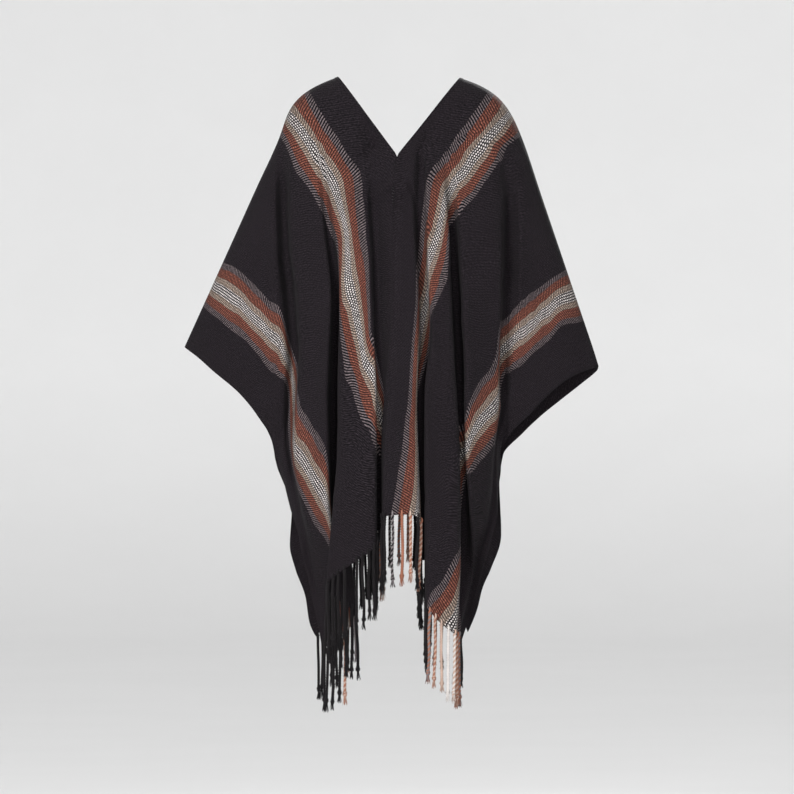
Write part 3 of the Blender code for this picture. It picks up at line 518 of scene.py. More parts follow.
# The stripes' own run: how much u (mm) differs along each row from the even spread between fold lines,
# at these fractions of the way to the hem, and across at each fold line, face middle and four places on the arm.
RUN_AT = [0, 0.015, 0.03, 0.05, 0.07, 0.09, 0.11, 0.13, 0.15, 0.17, 0.19, 0.21, 0.24, 0.27, 0.3, 0.33, 0.36, 0.4, 0.44, 0.48, 0.52, 0.57, 0.62, 0.68, 0.75, 0.83, 0.91, 1]
RUN = {
    "left": [
        [0, 1, 2, 4, 5, 7, 9, 9, 9, 8, 6, 3, -1, -5, -2, 3, 6, 6, 3, 1, 12, 18, 7, 15, 0],
        [0, 1, 2, 4, 5, 5, 5, 2, 1, 0, -2, -4, -5, -3, 1, 7, 7, 5, 4, 3, 14, 18, 10, 15, 0],
        [0, 1, 2, 3, 4, 4, 0, -5, -6, -7, -8, -9, -8, -2, 4, 7, 3, 3, 3, 5, 15, 17, 13, 14, 0],
        [0, 1, 2, 3, 3, 2, -5, -14, -14, -14, -13, -12, -8, -1, 4, 0, -3, -1, 3, 7, 17, 14, 12, 13, 0],
        [0, 1, 2, 3, 3, 1, -11, -20, -16, -14, -12, -9, -6, 2, 4, -3, -5, -2, 3, 9, 18, 11, 11, 13, 0],
        [0, 2, 3, 3, 3, 0, -12, -20, -12, -9, -7, -4, 1, 8, 7, -2, -3, -1, 5, 11, 18, 9, 12, 11, 0],
        [0, 2, 4, 4, 4, 1, -11, -14, -5, -1, 1, 4, 10, 15, 9, 1, 0, 1, 7, 13, 15, 7, 15, 8, 0],
        [0, 3, 5, 6, 5, 3, -6, -5, 3, 7, 9, 12, 17, 20, 11, 4, 3, 5, 11, 16, 11, 6, 16, 5, 0],
        [0, 5, 8, 9, 8, 7, 1, 3, 11, 16, 16, 18, 20, 21, 12, 6, 7, 9, 15, 19, 8, 8, 17, 2, 0],
        [0, 7, 12, 13, 12, 11, 4, 10, 17, 20, 19, 20, 21, 21, 12, 8, 10, 12, 19, 21, 9, 12, 17, 1, 0],
        [0, 9, 16, 18, 15, 11, 2, 14, 19, 19, 18, 18, 19, 19, 11, 9, 11, 15, 23, 22, 12, 17, 17, 3, 0],
        [0, 10, 19, 21, 17, 9, -2, 13, 17, 17, 15, 16, 18, 17, 10, 8, 11, 15, 26, 25, 18, 21, 17, 5, 0],
        [0, 11, 20, 21, 16, 8, -10, 8, 9, 10, 11, 13, 15, 15, 8, 6, 9, 14, 26, 33, 31, 25, 16, 7, 0],
        [0, 10, 17, 17, 14, 6, -13, -1, 2, 5, 8, 11, 14, 14, 6, 3, 7, 13, 27, 37, 40, 27, 15, 7, 0],
        [0, 7, 11, 12, 10, 3, -11, -9, -3, 2, 5, 9, 13, 15, 6, 0, 6, 16, 32, 38, 34, 24, 14, 7, 0],
        [0, 4, 6, 7, 6, 3, -9, -16, -7, 0, 3, 9, 14, 15, 7, -3, 7, 27, 40, 35, 28, 20, 13, 6, 0],
        [0, 2, 2, 3, 3, 2, -5, -15, -8, -1, 2, 8, 14, 15, 8, -1, 18, 41, 44, 30, 24, 17, 11, 6, 0],
        [0, 0, 0, -1, -1, -1, 0, -5, -8, -3, 0, 9, 15, 11, 3, -1, 19, 32, 36, 23, 18, 14, 9, 5, 0],
        [0, 0, -1, -1, -2, -2, 5, -4, -8, -3, -1, 9, 16, -2, -19, -8, 9, 18, 23, 16, 14, 11, 7, 4, 0],
        [0, 1, 2, 2, 0, -4, 12, -5, -9, -4, -1, 8, 15, -18, -39, -16, -2, 5, 11, 11, 9, 7, 5, 3, 0],
        [0, 4, 8, 10, 10, 10, 18, -10, -11, -5, -2, 6, 5, -20, -25, -14, -7, -1, 3, 5, 5, 4, 3, 2, 0],
        [0, 9, 17, 23, 29, 38, 25, -15, -14, -6, -4, 4, 1, -10, -3, -3, -3, -2, -1, 0, 1, 1, 1, 1, 0],
        [0, 15, 28, 37, 45, 54, 23, -19, -16, -8, -5, 4, 6, -1, 7, 3, 1, -2, -3, -3, -2, -1, -1, 0, 0],
        [0, 24, 43, 52, 55, 56, 26, -18, -18, -9, -7, 3, 10, 2, -3, -3, -3, -3, -3, -3, -2, -2, -1, -1, 0],
        [0, 39, 65, 68, 58, 40, 2, -18, -18, -10, -8, 2, 10, 6, -3, -3, -3, -3, -3, -3, -2, -2, -1, -1, 0],
        [0, 54, 90, 83, 55, 16, -14, -22, -18, -11, -9, 0, 6, 4, -1, -1, -2, -2, -2, -2, -1, -1, -1, 0, 0],
        [0, 57, 86, 79, 43, -6, -25, -26, -19, -12, -10, -4, 2, 2, 0, 0, 0, 0, 0, 0, 0, 0, 0, 0, 0],
        [0, 55, 77, 70, 34, -13, -34, -31, -21, -14, -12, -7, -3, 0, 1, 1, 1, 1, 1, 1, 1, 1, 0, 0, 0],
    ],
    "right": [
        [0, 1, 2, 3, 5, 7, 9, 11, 11, 10, 7, 5, 2, 0, 2, 6, 12, 12, 6, 8, 6, 5, 2, 0, -2, 0, 18, 16, 0],
        [0, 1, 2, 3, 4, 5, 6, 6, 5, 3, -1, -5, -8, -8, -8, -7, -6, -5, -2, -2, -4, -3, -2, -1, 1, 0, 16, 17, 0],
        [0, 1, 2, 3, 3, 3, 3, 2, 0, -4, -9, -15, -15, -15, -16, -17, -19, -10, 3, -4, -8, -8, -5, -2, 4, 1, 15, 20, 0],
        [0, 1, 2, 3, 3, 1, 0, -2, -5, -9, -16, -20, -20, -18, -17, -16, -14, 1, 6, -4, -11, -11, -8, -3, 8, 3, 11, 22, 0],
        [0, 1, 2, 3, 2, 1, -1, -3, -6, -10, -15, -14, -13, -12, -11, -7, 1, 3, -2, -7, -11, -11, -8, -3, 10, 2, 7, 17, 0],
        [0, 1, 2, 3, 3, 2, 0, -1, -3, -6, -7, -3, -1, -1, 0, 4, 14, 1, -11, -11, -12, -11, -8, -2, 11, 1, 8, 11, 0],
        [0, 1, 3, 4, 5, 4, 3, 3, 1, 1, 5, 8, 8, 7, 8, 14, 19, -1, -16, -14, -13, -10, -7, -2, 8, -1, 10, 7, 0],
        [0, 2, 3, 5, 7, 8, 7, 7, 7, 8, 13, 18, 14, 12, 16, 15, 12, -4, -17, -16, -13, -10, -6, -1, 3, -2, 9, 5, 0],
        [0, 2, 3, 6, 9, 11, 11, 11, 11, 11, 14, 23, 17, 13, 11, 7, 5, -6, -16, -16, -14, -10, -6, 0, -1, 0, 9, 4, 0],
        [0, 1, 3, 6, 9, 12, 12, 12, 11, 10, 9, 18, 15, 11, 7, 2, -1, -7, -13, -15, -14, -11, -6, 0, -3, 3, 9, 4, 0],
        [0, 1, 3, 5, 8, 10, 10, 9, 9, 8, 5, 9, 10, 7, 4, -1, -5, -9, -10, -12, -13, -12, -6, -1, -1, 5, 10, 5, 0],
        [0, 1, 2, 4, 5, 6, 6, 5, 5, 4, 1, 0, 4, 4, 2, -3, -8, -11, -7, -9, -11, -13, -6, -2, 3, 8, 10, 5, 0],
        [0, 0, 1, 1, 0, -1, -1, -1, 1, 5, 4, -7, -3, 0, -1, -5, -11, -16, -5, -4, -5, -10, -4, 5, 11, 9, 9, 5, 0],
        [0, 0, 0, -2, -5, -8, -8, -8, -3, 10, 6, -12, -6, -2, -2, -5, -13, -22, -8, 0, 2, -1, 4, 13, 13, 10, 8, 5, 0],
        [0, 0, -1, -3, -8, -14, -16, -15, -6, 9, 3, -9, -4, -1, -1, -4, -13, -29, -20, -1, 10, 10, 11, 15, 14, 10, 7, 4, 0],
        [0, 0, -1, -3, -9, -18, -21, -17, -7, 6, 5, 0, 2, 3, 2, -3, -11, -34, -36, -6, 14, 20, 17, 16, 13, 10, 7, 3, 0],
        [0, 0, -1, -3, -7, -16, -20, -16, -5, 9, 13, 14, 13, 9, 6, -2, -11, -34, -47, -15, 5, 15, 16, 14, 12, 9, 6, 3, 0],
        [0, -1, -1, -3, -4, -11, -13, -10, 2, 18, 30, 37, 32, 20, 15, 0, -18, -31, -36, -19, -6, -1, 6, 9, 8, 7, 5, 2, 0],
        [0, -1, -2, -3, -4, -7, -5, -1, 12, 31, 50, 61, 52, 32, 26, 4, -22, -16, -12, -14, -12, -8, -2, 2, 3, 3, 3, 1, 0],
        [0, -1, -2, -4, -6, -3, 1, 7, 22, 47, 72, 84, 70, 46, 39, 14, -13, -2, 2, -2, -5, -5, -4, -2, -1, 0, 0, 0, 0],
        [0, 0, -1, -4, -6, 0, 7, 14, 31, 61, 93, 101, 80, 63, 55, 29, -2, 6, 8, 5, 2, -1, -3, -3, -3, -2, -2, -1, 0],
        [0, 0, 0, 0, -2, 4, 12, 19, 39, 73, 111, 106, 75, 79, 82, 52, 20, 7, 5, 4, 2, -1, -3, -4, -4, -4, -3, -2, 0],
        [0, 1, 1, 4, 2, 7, 16, 23, 43, 76, 110, 78, 49, 77, 92, 58, 18, 4, -2, -3, -5, -7, -7, -7, -6, -5, -4, -2, 0],
        [0, 1, 2, 5, 3, 9, 19, 25, 43, 67, 78, 46, 19, 69, 77, 31, -8, -19, -23, -22, -19, -16, -14, -11, -9, -6, -4, -2, 0],
        [0, 2, 3, 9, 5, 9, 21, 25, 40, 52, 41, 9, -5, 46, 55, 22, -13, -22, -24, -23, -22, -20, -17, -14, -11, -8, -6, -3, 0],
        [0, 3, 4, 3, -4, 7, 20, 24, 36, 37, 17, 8, 1, 26, 35, 17, -7, -13, -14, -16, -17, -18, -17, -15, -13, -10, -7, -3, 0],
        [0, 5, 8, 6, -3, 6, 19, 22, 33, 33, 14, 1, 2, 8, 8, -9, -29, -33, -32, -29, -27, -24, -21, -18, -14, -11, -7, -4, 0],
        [0, 11, 17, 10, 3, 6, 17, 20, 31, 33, 13, -3, -11, -19, -21, -32, -40, -40, -39, -37, -34, -31, -27, -23, -18, -14, -9, -5, 0],
    ],
}

def stretches(lines, counts):
    """Kind, first and last column of each stretch of cloth between two fold lines."""
    at = 0
    for a, b in zip(lines, lines[1:]):
        kind = "arm" if b == "selvage" else "bottom" if (a, b) == ("valley", "bottom") else \
            "wall" if a == "bottom" or b == "valley" else "face"
        yield kind, at, at + counts[kind]
        at += counts[kind]


def run_of_stripes(side, rows, counts, lines):
    """The table of RUN as a smooth field over the grid of one half of a panel."""
    places = []
    for kind, at, end in stretches(lines, counts):
        shares = {"arm": (0.0, 0.2, 0.4, 0.6, 0.8, 1.0), "bottom": (0.0,)}.get(kind, (0.0, 0.5))
        places += [at + (end - at) * share for share in shares]
    down = np.array([through(rows, RUN_AT, column) for column in np.array(RUN[side], float).T])
    return np.array([through(np.arange(end + 1.0), places, row) for row in down.T])


# Soft troughs (-) and ridges (+) of the worn cloth, in mm: side, middle u and v (front is minus),
# heading from straight down (degrees), length, width, height.
CREASES = [
    ("left", 62, -118, 24, 150, 11, -1.5), ("left", 96, -92, 31, 120, 9, 1.3), ("left", 150, -70, 38, 130, 12, -1.6),
    ("left", 212, -120, 22, 210, 14, 1.8), ("left", 262, -240, 9, 260, 13, -1.9), ("left", 318, -205, 14, 230, 12, 1.6),
    ("left", 352, -372, -6, 240, 15, -1.8), ("left", 402, -250, 12, 260, 17, 1.7), ("left", 440, -405, -14, 210, 14, -1.7),
    ("left", 486, -300, 8, 240, 16, 1.5), ("left", 520, -470, -11, 190, 13, -1.5), ("left", 540, -640, -4, 220, 14, 1.7),
    ("left", 236, -520, 5, 280, 12, 1.4), ("left", 205, -700, -7, 170, 10, -1.3), ("left", 262, -760, 4, 130, 11, 1.2),
    ("left", 40, -420, 3, 230, 9, -1.1), ("left", 330, -560, -3, 230, 12, 1.4), ("left", 470, -585, 6, 210, 13, -1.4),
    ("left", 50, 150, 26, 160, 11, 1.4), ("left", 120, 110, 33, 140, 11, -1.5), ("left", 190, 210, 17, 220, 14, 1.7),
    ("left", 255, 330, 8, 260, 13, -1.7), ("left", 318, 250, -10, 230, 13, 1.6), ("left", 372, 420, 6, 250, 15, -1.8),
    ("left", 430, 300, -8, 240, 15, 1.6), ("left", 495, 420, 10, 230, 15, -1.5), ("left", 530, 610, 5, 240, 14, 1.6),
    ("left", 210, 600, -4, 260, 12, 1.4), ("left", 90, 520, 3, 240, 10, -1.1), ("left", 300, 700, -5, 180, 12, 1.2),
    ("right", 58, -130, -26, 150, 10, 1.4), ("right", 104, -88, -33, 130, 10, -1.5), ("right", 160, -76, -36, 140, 12, 1.5),
    ("right", 220, -135, -20, 220, 14, -1.8), ("right", 274, -228, -11, 240, 13, 1.7), ("right", 322, -330, 5, 250, 14, -1.7),
    ("right", 372, -225, -13, 230, 14, 1.7), ("right", 414, -400, 9, 220, 15, -1.6), ("right", 462, -270, -8, 250, 16, 1.6),
    ("right", 508, -430, 12, 200, 13, -1.6), ("right", 545, -560, 4, 230, 14, 1.5), ("right", 236, -540, -4, 280, 12, -1.3),
    ("right", 80, -560, 2, 240, 9, 1.1), ("right", 262, -720, 5, 180, 10, 1.2), ("right", 312, -640, -6, 190, 11, -1.3),
    ("right", 188, -330, 6, 220, 11, 1.2), ("right", 430, -610, -5, 200, 13, 1.4), ("right", 500, -720, 3, 170, 12, -1.3),
    ("right", 60, 140, -24, 150, 11, -1.4), ("right", 126, 98, -31, 140, 11, 1.5), ("right", 196, 190, -15, 230, 14, -1.7),
    ("right", 262, 320, -8, 250, 13, 1.6), ("right", 320, 240, 9, 230, 13, -1.6), ("right", 384, 400, -7, 260, 15, 1.7),
    ("right", 440, 290, 8, 240, 15, -1.6), ("right", 500, 430, -9, 230, 15, 1.5), ("right", 528, 620, -4, 230, 14, -1.6),
    ("right", 214, 590, 4, 260, 12, -1.4), ("right", 96, 500, -3, 240, 10, 1.1), ("right", 298, 690, 5, 190, 12, -1.2),
]


def creased(side, u, v):
    """How far (mm) the cloth moves out by its creases and by the waves of its edges."""
    move = np.zeros_like(u)
    for which, cu, cv, heading, length, width, height in CREASES:
        if which != side:
            continue
        turn = math.radians(heading)
        du, dv = u - cu, v - cv
        along = (dv * math.cos(turn) + du * math.sin(turn)) / (0.5 * length)
        across = (du * math.cos(turn) - dv * math.sin(turn)) / width
        bow = 0.35 * along * along
        move += height * np.exp(-(across - bow) ** 2) * np.clip(1.0 - along * along, 0.0, 1.0) ** 2
    phase = 0.0 if side == "left" else 1.9
    to_hem = np.clip((np.abs(v) - HALF_LENGTH + 60.0) / 60.0, 0.0, 1.0) ** 2
    move += 1.3 * to_hem * np.sin(u / 11.5 + phase + np.sin(u / 37.0)) * (0.6 + 0.4 * np.sin(u / 61.0 + phase))
    to_edge = np.clip((u - HALF_WIDTH + 45.0) / 45.0, 0.0, 1.0) ** 2
    move += 1.9 * to_edge * np.sin(v / 19.0 + phase + 1.3 * np.sin(v / 53.0)) * (0.6 + 0.4 * np.sin(v / 97.0))
    slow = np.sin(u / 43.0 + 0.7 * np.sin(v / 71.0) + phase) * np.sin(v / 88.0 + 0.9 * np.sin(u / 59.0))
    move += 0.5 * slow * np.clip(np.abs(v) / 60.0, 0.0, 1.0)
    # butted edges of the centre seam turn in a little
    sewn = np.clip((np.abs(v) - SLIT_LENGTH + 4.0) / 8.0, 0.0, 1.0)
    return move * np.clip(u / 14.0, 0.0, 1.0) - 0.7 * sewn * np.exp(-(u / 2.2) ** 2)


def thickness(u, v):
    """Thickness (mm): doubled where the edge of the slit is turned and hemmed."""
    turned = np.clip((TURNED - u) / 0.8, 0.0, 1.0) * np.clip((SLIT_LENGTH + 3.0 - np.abs(v)) / 5.0, 0.0, 1.0)
    return THIN + (DOUBLED - THIN) * turned


def set_uv(mesh, pairs):
    """Writes a pair of numbers for each vertex into the UV map that the materials read, in metres."""
    layer = mesh.uv_layers.new(name="cut")
    which = np.zeros(len(mesh.loops), dtype=np.int32)
    mesh.loops.foreach_get("vertex_index", which)
    layer.data.foreach_set("uv", np.asarray(pairs, dtype=np.float32)[which].ravel() / 1000.0)


def make(name, points, faces, pairs, skin):
    mesh = bpy.data.meshes.new(name)
    mesh.from_pydata(np.asarray(points).tolist(), [], faces)
    set_uv(mesh, pairs)
    mesh.materials.append(skin)
    mesh.polygons.foreach_set("use_smooth", [True] * len(mesh.polygons))
    mesh.update()
    item = bpy.data.objects.new(name, mesh)
    bpy.context.scene.collection.objects.link(item)
    return item


def bellied(side, points, lines):
    """Faces between folds belly out, valleys sink in softly, and every bend across a row is eased."""
    rows = np.abs(np.linspace(-1.0, 1.0, len(points)))
    t = np.interp(rows, np.linspace(0.0, 1.0, len(FINE_ROWS)), FINE_ROWS)
    fade = np.clip((t - 0.04) / 0.2, 0.0, 1.0)
    normal = outward(side, points)
    run = np.concatenate([np.zeros((len(points), 1)), np.cumsum(np.linalg.norm(np.diff(points, axis=1), axis=2), axis=1)],
                         axis=1) * 1000.0
    moved = points.copy()
    for kind, at, end in stretches(lines, FINE_COUNTS):
        if kind == "face":
            wide = np.linalg.norm(points[:, end] - points[:, at], axis=1)
            rise = np.minimum(BELLY * wide, BELLY_MOST / 1000.0) * fade
            shape = np.sin(np.linspace(0.0, math.pi, end - at + 1))
            moved[:, at:end + 1] += normal[:, at:end + 1] * (rise[:, None] * shape)[..., None]
        elif kind == "bottom":
            outer = (at, end)
            off = run - 0.5 * (run[:, at] + run[:, end])[:, None]
            sink = SINK / 1000.0 * fade[:, None] * np.exp(-(off / SINK_SPREAD) ** 2)
            moved[..., 1] -= np.sign(points[..., 1]) * np.minimum(sink, np.abs(points[..., 1]) * 0.25)
    for i, row in enumerate(moved):
        ease = EASE + EASE_TOP * (1.0 - min(t[i] / 0.2, 1.0)) ** 1.5
        reach = int(3 * ease / EASE_STEP)
        bell = np.exp(-0.5 * (np.arange(-reach, reach + 1) * EASE_STEP / ease) ** 2)
        bell /= bell.sum()
        run = np.concatenate([[0.0], np.cumsum(np.linalg.norm(np.diff(row, axis=0), axis=1))]) * 1000.0
        even = np.linspace(0.0, run[-1], int(run[-1] / EASE_STEP) + 1)
        line = np.array([np.interp(even, run, row[:, a]) for a in range(3)]).T
        long = np.concatenate([2 * line[0] - line[reach:0:-1], line, 2 * line[-1] - line[-2:-2 - reach:-1]])
        eased = np.array([np.convolve(long[:, a], bell, "valid") for a in range(3)]).T
        moved[i] = np.array([np.interp(run, even, eased[:, a]) for a in range(3)]).T
        off = run - 0.5 * (run[outer[0]] + run[outer[1]])
        sink = OUTER_SINK * min(t[i] / 0.1, 1.0, max(3.4 - 4.0 * t[i], 0.0)) * np.exp(-(off / SINK_SPREAD) ** 2)
        moved[i, :, 1] *= 1.0 - np.minimum(sink / 1000.0 / np.maximum(np.abs(moved[i, :, 1]), 1e-6), 0.3)
    return moved


def squared(points, dyed, v):
    """v (mm) evened over the grid so that the weft lies square to the stripes."""
    place = points * 1000.0
    across, down = np.gradient(place, axis=1), np.gradient(place, axis=0)
    u_across, u_down = np.gradient(dyed, axis=1), np.gradient(dyed, axis=0)
    e, f, g = (across * across).sum(axis=2), (across * down).sum(axis=2), (down * down).sum(axis=2)
    slope = (g * u_across - f * u_down)[..., None] * across + (e * u_down - f * u_across)[..., None] * down
    way = np.cross(np.cross(across, down), slope)
    way /= np.maximum(np.linalg.norm(way, axis=2), 1e-9)[..., None]
    way *= np.sign((way * down).sum(axis=2))[..., None]
    gaps = [np.diff(place, axis=a) for a in (0, 1)]
    wants = [0.5 * ((way[1:] + way[:-1]) * gaps[0]).sum(axis=2), 0.5 * ((way[:, 1:] + way[:, :-1]) * gaps[1]).sum(axis=2)]
    e, g = np.sqrt(e), np.sqrt(g)
    weights = [0.5 * (e[1:] + e[:-1]) / np.maximum(np.linalg.norm(gaps[0], axis=2), 0.05),
               0.5 * (g[:, 1:] + g[:, :-1]) / np.maximum(np.linalg.norm(gaps[1], axis=2), 0.05)]
    weights = [np.clip(w, 0.05, 20.0) for w in weights]

    def gather(down_part, across_part):
        out = np.zeros_like(v)
        out[1:] += down_part
        out[:-1] -= down_part
        out[:, 1:] += across_part
        out[:, :-1] -= across_part
        return out

    def pull(x):
        return gather(weights[0] * np.diff(x, axis=0), weights[1] * np.diff(x, axis=1)) + 1e-5 * x

    scale = gather(0 * weights[0], 0 * weights[1]) + 1e-5
    scale[1:] += weights[0]
    scale[:-1] += weights[0]
    scale[:, 1:] += weights[1]
    scale[:, :-1] += weights[1]
    x = v.copy()
    left = gather(weights[0] * wants[0], weights[1] * wants[1]) + 1e-5 * v - pull(x)
    step = left / scale
    rate = (left * step).sum()
    for _ in range(700):
        pulled = pull(step)
        share = rate / (step * pulled).sum()
        x += share * step
        left -= share * pulled
        eased = left / scale
        rate, before = (left * eased).sum(), rate
        step = eased + rate / before * step
    return x


def cloth_shell(side):
    """Fine grid of a panel: middle surface, its normals, u and v, and the u at which its stripes are dyed."""
    points, u, v = cloth_grid(side, FINE_ROWS, FINE_COUNTS)
    lines = fold_nodes(side, "front", FINE_ROWS)[1]
    run = run_of_stripes(side, FINE_ROWS, FINE_COUNTS, lines)
    points = bellied(side, points, lines)
    dyed = u + np.concatenate([run[::-1], run[1:]])
    to_hem = np.clip((v / HALF_LENGTH - 0.5) / 0.5, 0.0, 1.0)
    dyed += BACK_RUN[side] * to_hem * to_hem * (3.0 - 2.0 * to_hem) * np.sin(math.pi * np.clip(u / HALF_WIDTH, 0.0, 1.0))
    to_next = points[:, 1] - points[:, 0]
    points[:, 0] += to_next / np.linalg.norm(to_next, axis=1)[:, None] * 0.0003
    normal = outward(side, points)
    points = points + normal * creased(side, u, v)[..., None] / 1000.0
    return points, outward(side, points), u, v, np.stack([dyed, squared(points, dyed, v)])


def cloth(side, shell, skin):
    """A closed thin shell with rounded edges."""
    points, normal, u, v, (dyed, weft) = shell
    rows, columns = u.shape
    half = 0.5 * thickness(u, v)[..., None] / 1000.0
    outer, inner = points + normal * half, points - normal * half
    number = np.arange(rows * columns).reshape(rows, columns)
    quads = np.stack([number[:-1, :-1], number[:-1, 1:], number[1:, 1:], number[1:, :-1]], axis=-1).reshape(-1, 4)
    if side == "right":
        quads = quads[:, ::-1]
    faces = quads.tolist() + (quads[:, ::-1] + rows * columns).tolist()
    border = np.concatenate([number[0, :-1], number[:-1, -1], number[-1, :0:-1], number[:0:-1, 0]])
    flat_points, flat_half = points.reshape(-1, 3), half.reshape(-1)
    out_of = np.zeros((len(border), 3))
    for k, b in enumerate(border):
        i, j = divmod(int(b), columns)
        way = np.zeros(3)
        if i in (0, rows - 1):
            way += points[i, j] - points[1 if i == 0 else rows - 2, j]
        if j in (0, columns - 1):
            way += points[i, j] - points[i, 1 if j == 0 else columns - 2]
        out_of[k] = way / np.linalg.norm(way)
    rim = flat_points[border] + out_of * flat_half[border][:, None] * 0.8
    first = 2 * rows * columns
    count = len(border)
    for k in range(count):
        m = (k + 1) % count
        a, b = int(border[k]), int(border[m])
        upper = (a, first + k, first + m, b)
        lower = (a + rows * columns, b + rows * columns, first + m, first + k)
        if side == "right":
            upper, lower = upper[::-1], lower[::-1]
        faces += [upper, lower]
    everything = np.concatenate([outer.reshape(-1, 3), inner.reshape(-1, 3), rim])
    pair = np.stack([dyed.ravel(), weft.ravel()], axis=1)
    return make("cloth_" + side, everything, faces, np.concatenate([pair, pair, pair[border]]), skin)


def hem_line(side, layer):
    """Points along the solids' hem, the way the cloth hangs there, u there, and where each strand's root starts."""
    points, u, _ = half_panel(side, layer, ROWS, COUNTS)
    line = points[-1]
    hang = points[-1] - points[-2]
    run = np.concatenate([[0.0], np.cumsum(np.linalg.norm(np.diff(line, axis=0), axis=1))])
    middles = (np.arange(STRANDS) + 0.5) * run[-1] / STRANDS
    half = 0.5 * ROOT_THICK / 1000.0
    bends = []
    for spot in run[1:-1]:
        if np.abs(middles - spot).min() > 2.3 * half and (not bends or spot - bends[-1] > LEAST_STEP / 1000.0):
            bends.append(spot)
    marks = np.sort(np.concatenate([middles - half, middles + half, bends]))
    at = np.array([np.interp(marks, run, line[:, a]) for a in range(3)]).T
    hang = np.array([np.interp(marks, run, hang[:, a]) for a in range(3)]).T
    return (at, hang / np.linalg.norm(hang, axis=1)[:, None], np.interp(marks, run, u[-1]),
            np.searchsorted(marks, middles) - 1)


def strand_way(root, out, along, length, number, walls, strip, placed):
    """Foot of a strand that hangs clear of the cloth and of its neighbours, or None."""
    wander = 0.0016 * math.sin(1.7 * number) + 0.0008 * math.sin(0.61 * number + 1.0)
    for lean, slip in LEANS:
        foot = root + np.array([0.0, 0.0, -length]) + out * lean + along * (wander + slip)
        shares = np.linspace(FULL_AT, 1.0, 18)[:, None]
        spots = root + (foot - root) * shares
        if any(walls.find_nearest(Vector(s), CLEAR_WALL)[0] is not None for s in spots):
            continue
        upper = root + (foot - root) * np.array([[0.02], [0.04], [0.06]])
        if np.linalg.norm(strip[:, None] - upper[None], axis=2).min() < CLEAR_STRIP:
            continue
        if placed:
            others = np.array(placed)[:, None]
            if np.linalg.norm(others - spots[None], axis=2).min() < CLEAR_STRAND:
                continue
        placed.extend(list(root + (foot - root) * s) for s in np.linspace(0.0, 1.0, 40))
        return foot
    return None


def cloth_walls():
    """Search tree over the middle surfaces of both solid panels and the strips below them."""
    points, faces = [], []
    below = (STRIP_GAP + STRIP_HEIGHT) / 1000.0
    for side in ("left", "right"):
        grid, _ = whole_panel(side)
        grid = np.concatenate([grid[:1] - (0.0, 0.0, below), grid, grid[-1:] - (0.0, 0.0, below)])
        rows, columns = grid.shape[:2]
        first = len(points)
        points += [Vector(p) for p in grid.reshape(-1, 3)]
        for i in range(rows - 1):
            for j in range(columns - 1):
                a = first + i * columns + j
                faces += [(a, a + 1, a + columns + 1), (a, a + columns + 1, a + columns)]
    return BVHTree.FromPolygons(points, faces)


def strand_roots(side, layer, walls, placed):
    """Root, foot, u and number of each strand, as the solids have them."""
    at, hang, u, firsts = hem_line(side, layer)
    along = np.gradient(at, axis=0)
    along /= np.linalg.norm(along, axis=1)[:, None]
    out = np.cross(hang, along)
    out /= np.linalg.norm(out, axis=1)[:, None]
    hang = np.cross(along, out)
    hang[1:-1] = 0.25 * (hang[:-2] + 2.0 * hang[1:-1] + hang[2:])
    low = at + hang * (STRIP_GAP + STRIP_HEIGHT) / 1000.0
    found = []
    for k, i in enumerate(firsts):
        root = 0.5 * (low[i] + low[i + 1])
        length = (STRAND_LENGTH + 5.0 * math.sin(2.3 * k)) / 1000.0
        flat = out[i] * (1.0, 1.0, 0.0)
        strip = np.delete(low, [i, i + 1], axis=0)
        foot = strand_way(root, flat, along[i] * (1.0, 1.0, 0.0), length, k, walls, strip, placed)
        if foot is not None:
            found.append((root, foot, 0.5 * (u[i] + u[i + 1]), k))
    return found


class Tubes:
    """Collects round strands of yarn into one mesh."""

    def __init__(self):
        self.points, self.faces, self.pairs, self.total = [], [], [], 0

    def add(self, path, radii, sides, pair, close=True):
        """A tube along the path. pair is (u, start) for the material, which also gets the length along it."""
        path = np.asarray(path, float)
        tangent = np.gradient(path, axis=0)
        tangent /= np.maximum(np.linalg.norm(tangent, axis=1), 1e-12)[:, None]
        across = np.cross(tangent[0], (0.31, 0.87, 0.38))
        across /= np.linalg.norm(across)
        frames = []
        for t in tangent:
            across = across - t * across.dot(t)
            across /= np.linalg.norm(across)
            frames.append(across)
        first_way = np.array(frames)
        second_way = np.cross(tangent, first_way)
        turn = np.linspace(0.0, 2 * math.pi, sides, endpoint=False)
        ring = (first_way[:, None] * np.cos(turn)[None, :, None] + second_way[:, None] * np.sin(turn)[None, :, None])
        points = path[:, None] + ring * np.broadcast_to(radii, len(path))[:, None, None]
        count = len(path)
        length = np.concatenate([[0.0], np.cumsum(np.linalg.norm(np.diff(path, axis=0), axis=1))]) * 1000.0
        base = self.total
        self.points.append(points.reshape(-1, 3))
        self.pairs.append(np.stack([np.full(count * sides, pair[0]), np.repeat(length + pair[1], sides)], axis=1))
        for i in range(count - 1):
            a = base + i * sides
            for k in range(sides):
                m = (k + 1) % sides
                self.faces.append((a + k, a + m, a + sides + m, a + sides + k))
        self.total += count * sides
        if close:
            self.faces.append(tuple(base + k for k in range(sides - 1, -1, -1)))
            self.faces.append(tuple(base + (count - 1) * sides + k for k in range(sides)))

    def item(self, name, skin):
        return make(name, np.concatenate(self.points), self.faces, np.concatenate(self.pairs), skin)


PLY = 1.75               # radius of each of a cord's two plies, mm
TWIST = 9.5               # length of one turn of a cord
PLY_APART = 4.5           # the two plies are drawn from the warp this far to each side, mm
BLACK_SHARE = 0.28        # share of the cords that are drawn from the black ground wherever they hang
KNOT_AT = 0.80            # knot, as a share of the strand
TIP = 17.0                # frayed end below the knot
FIBRES = 17


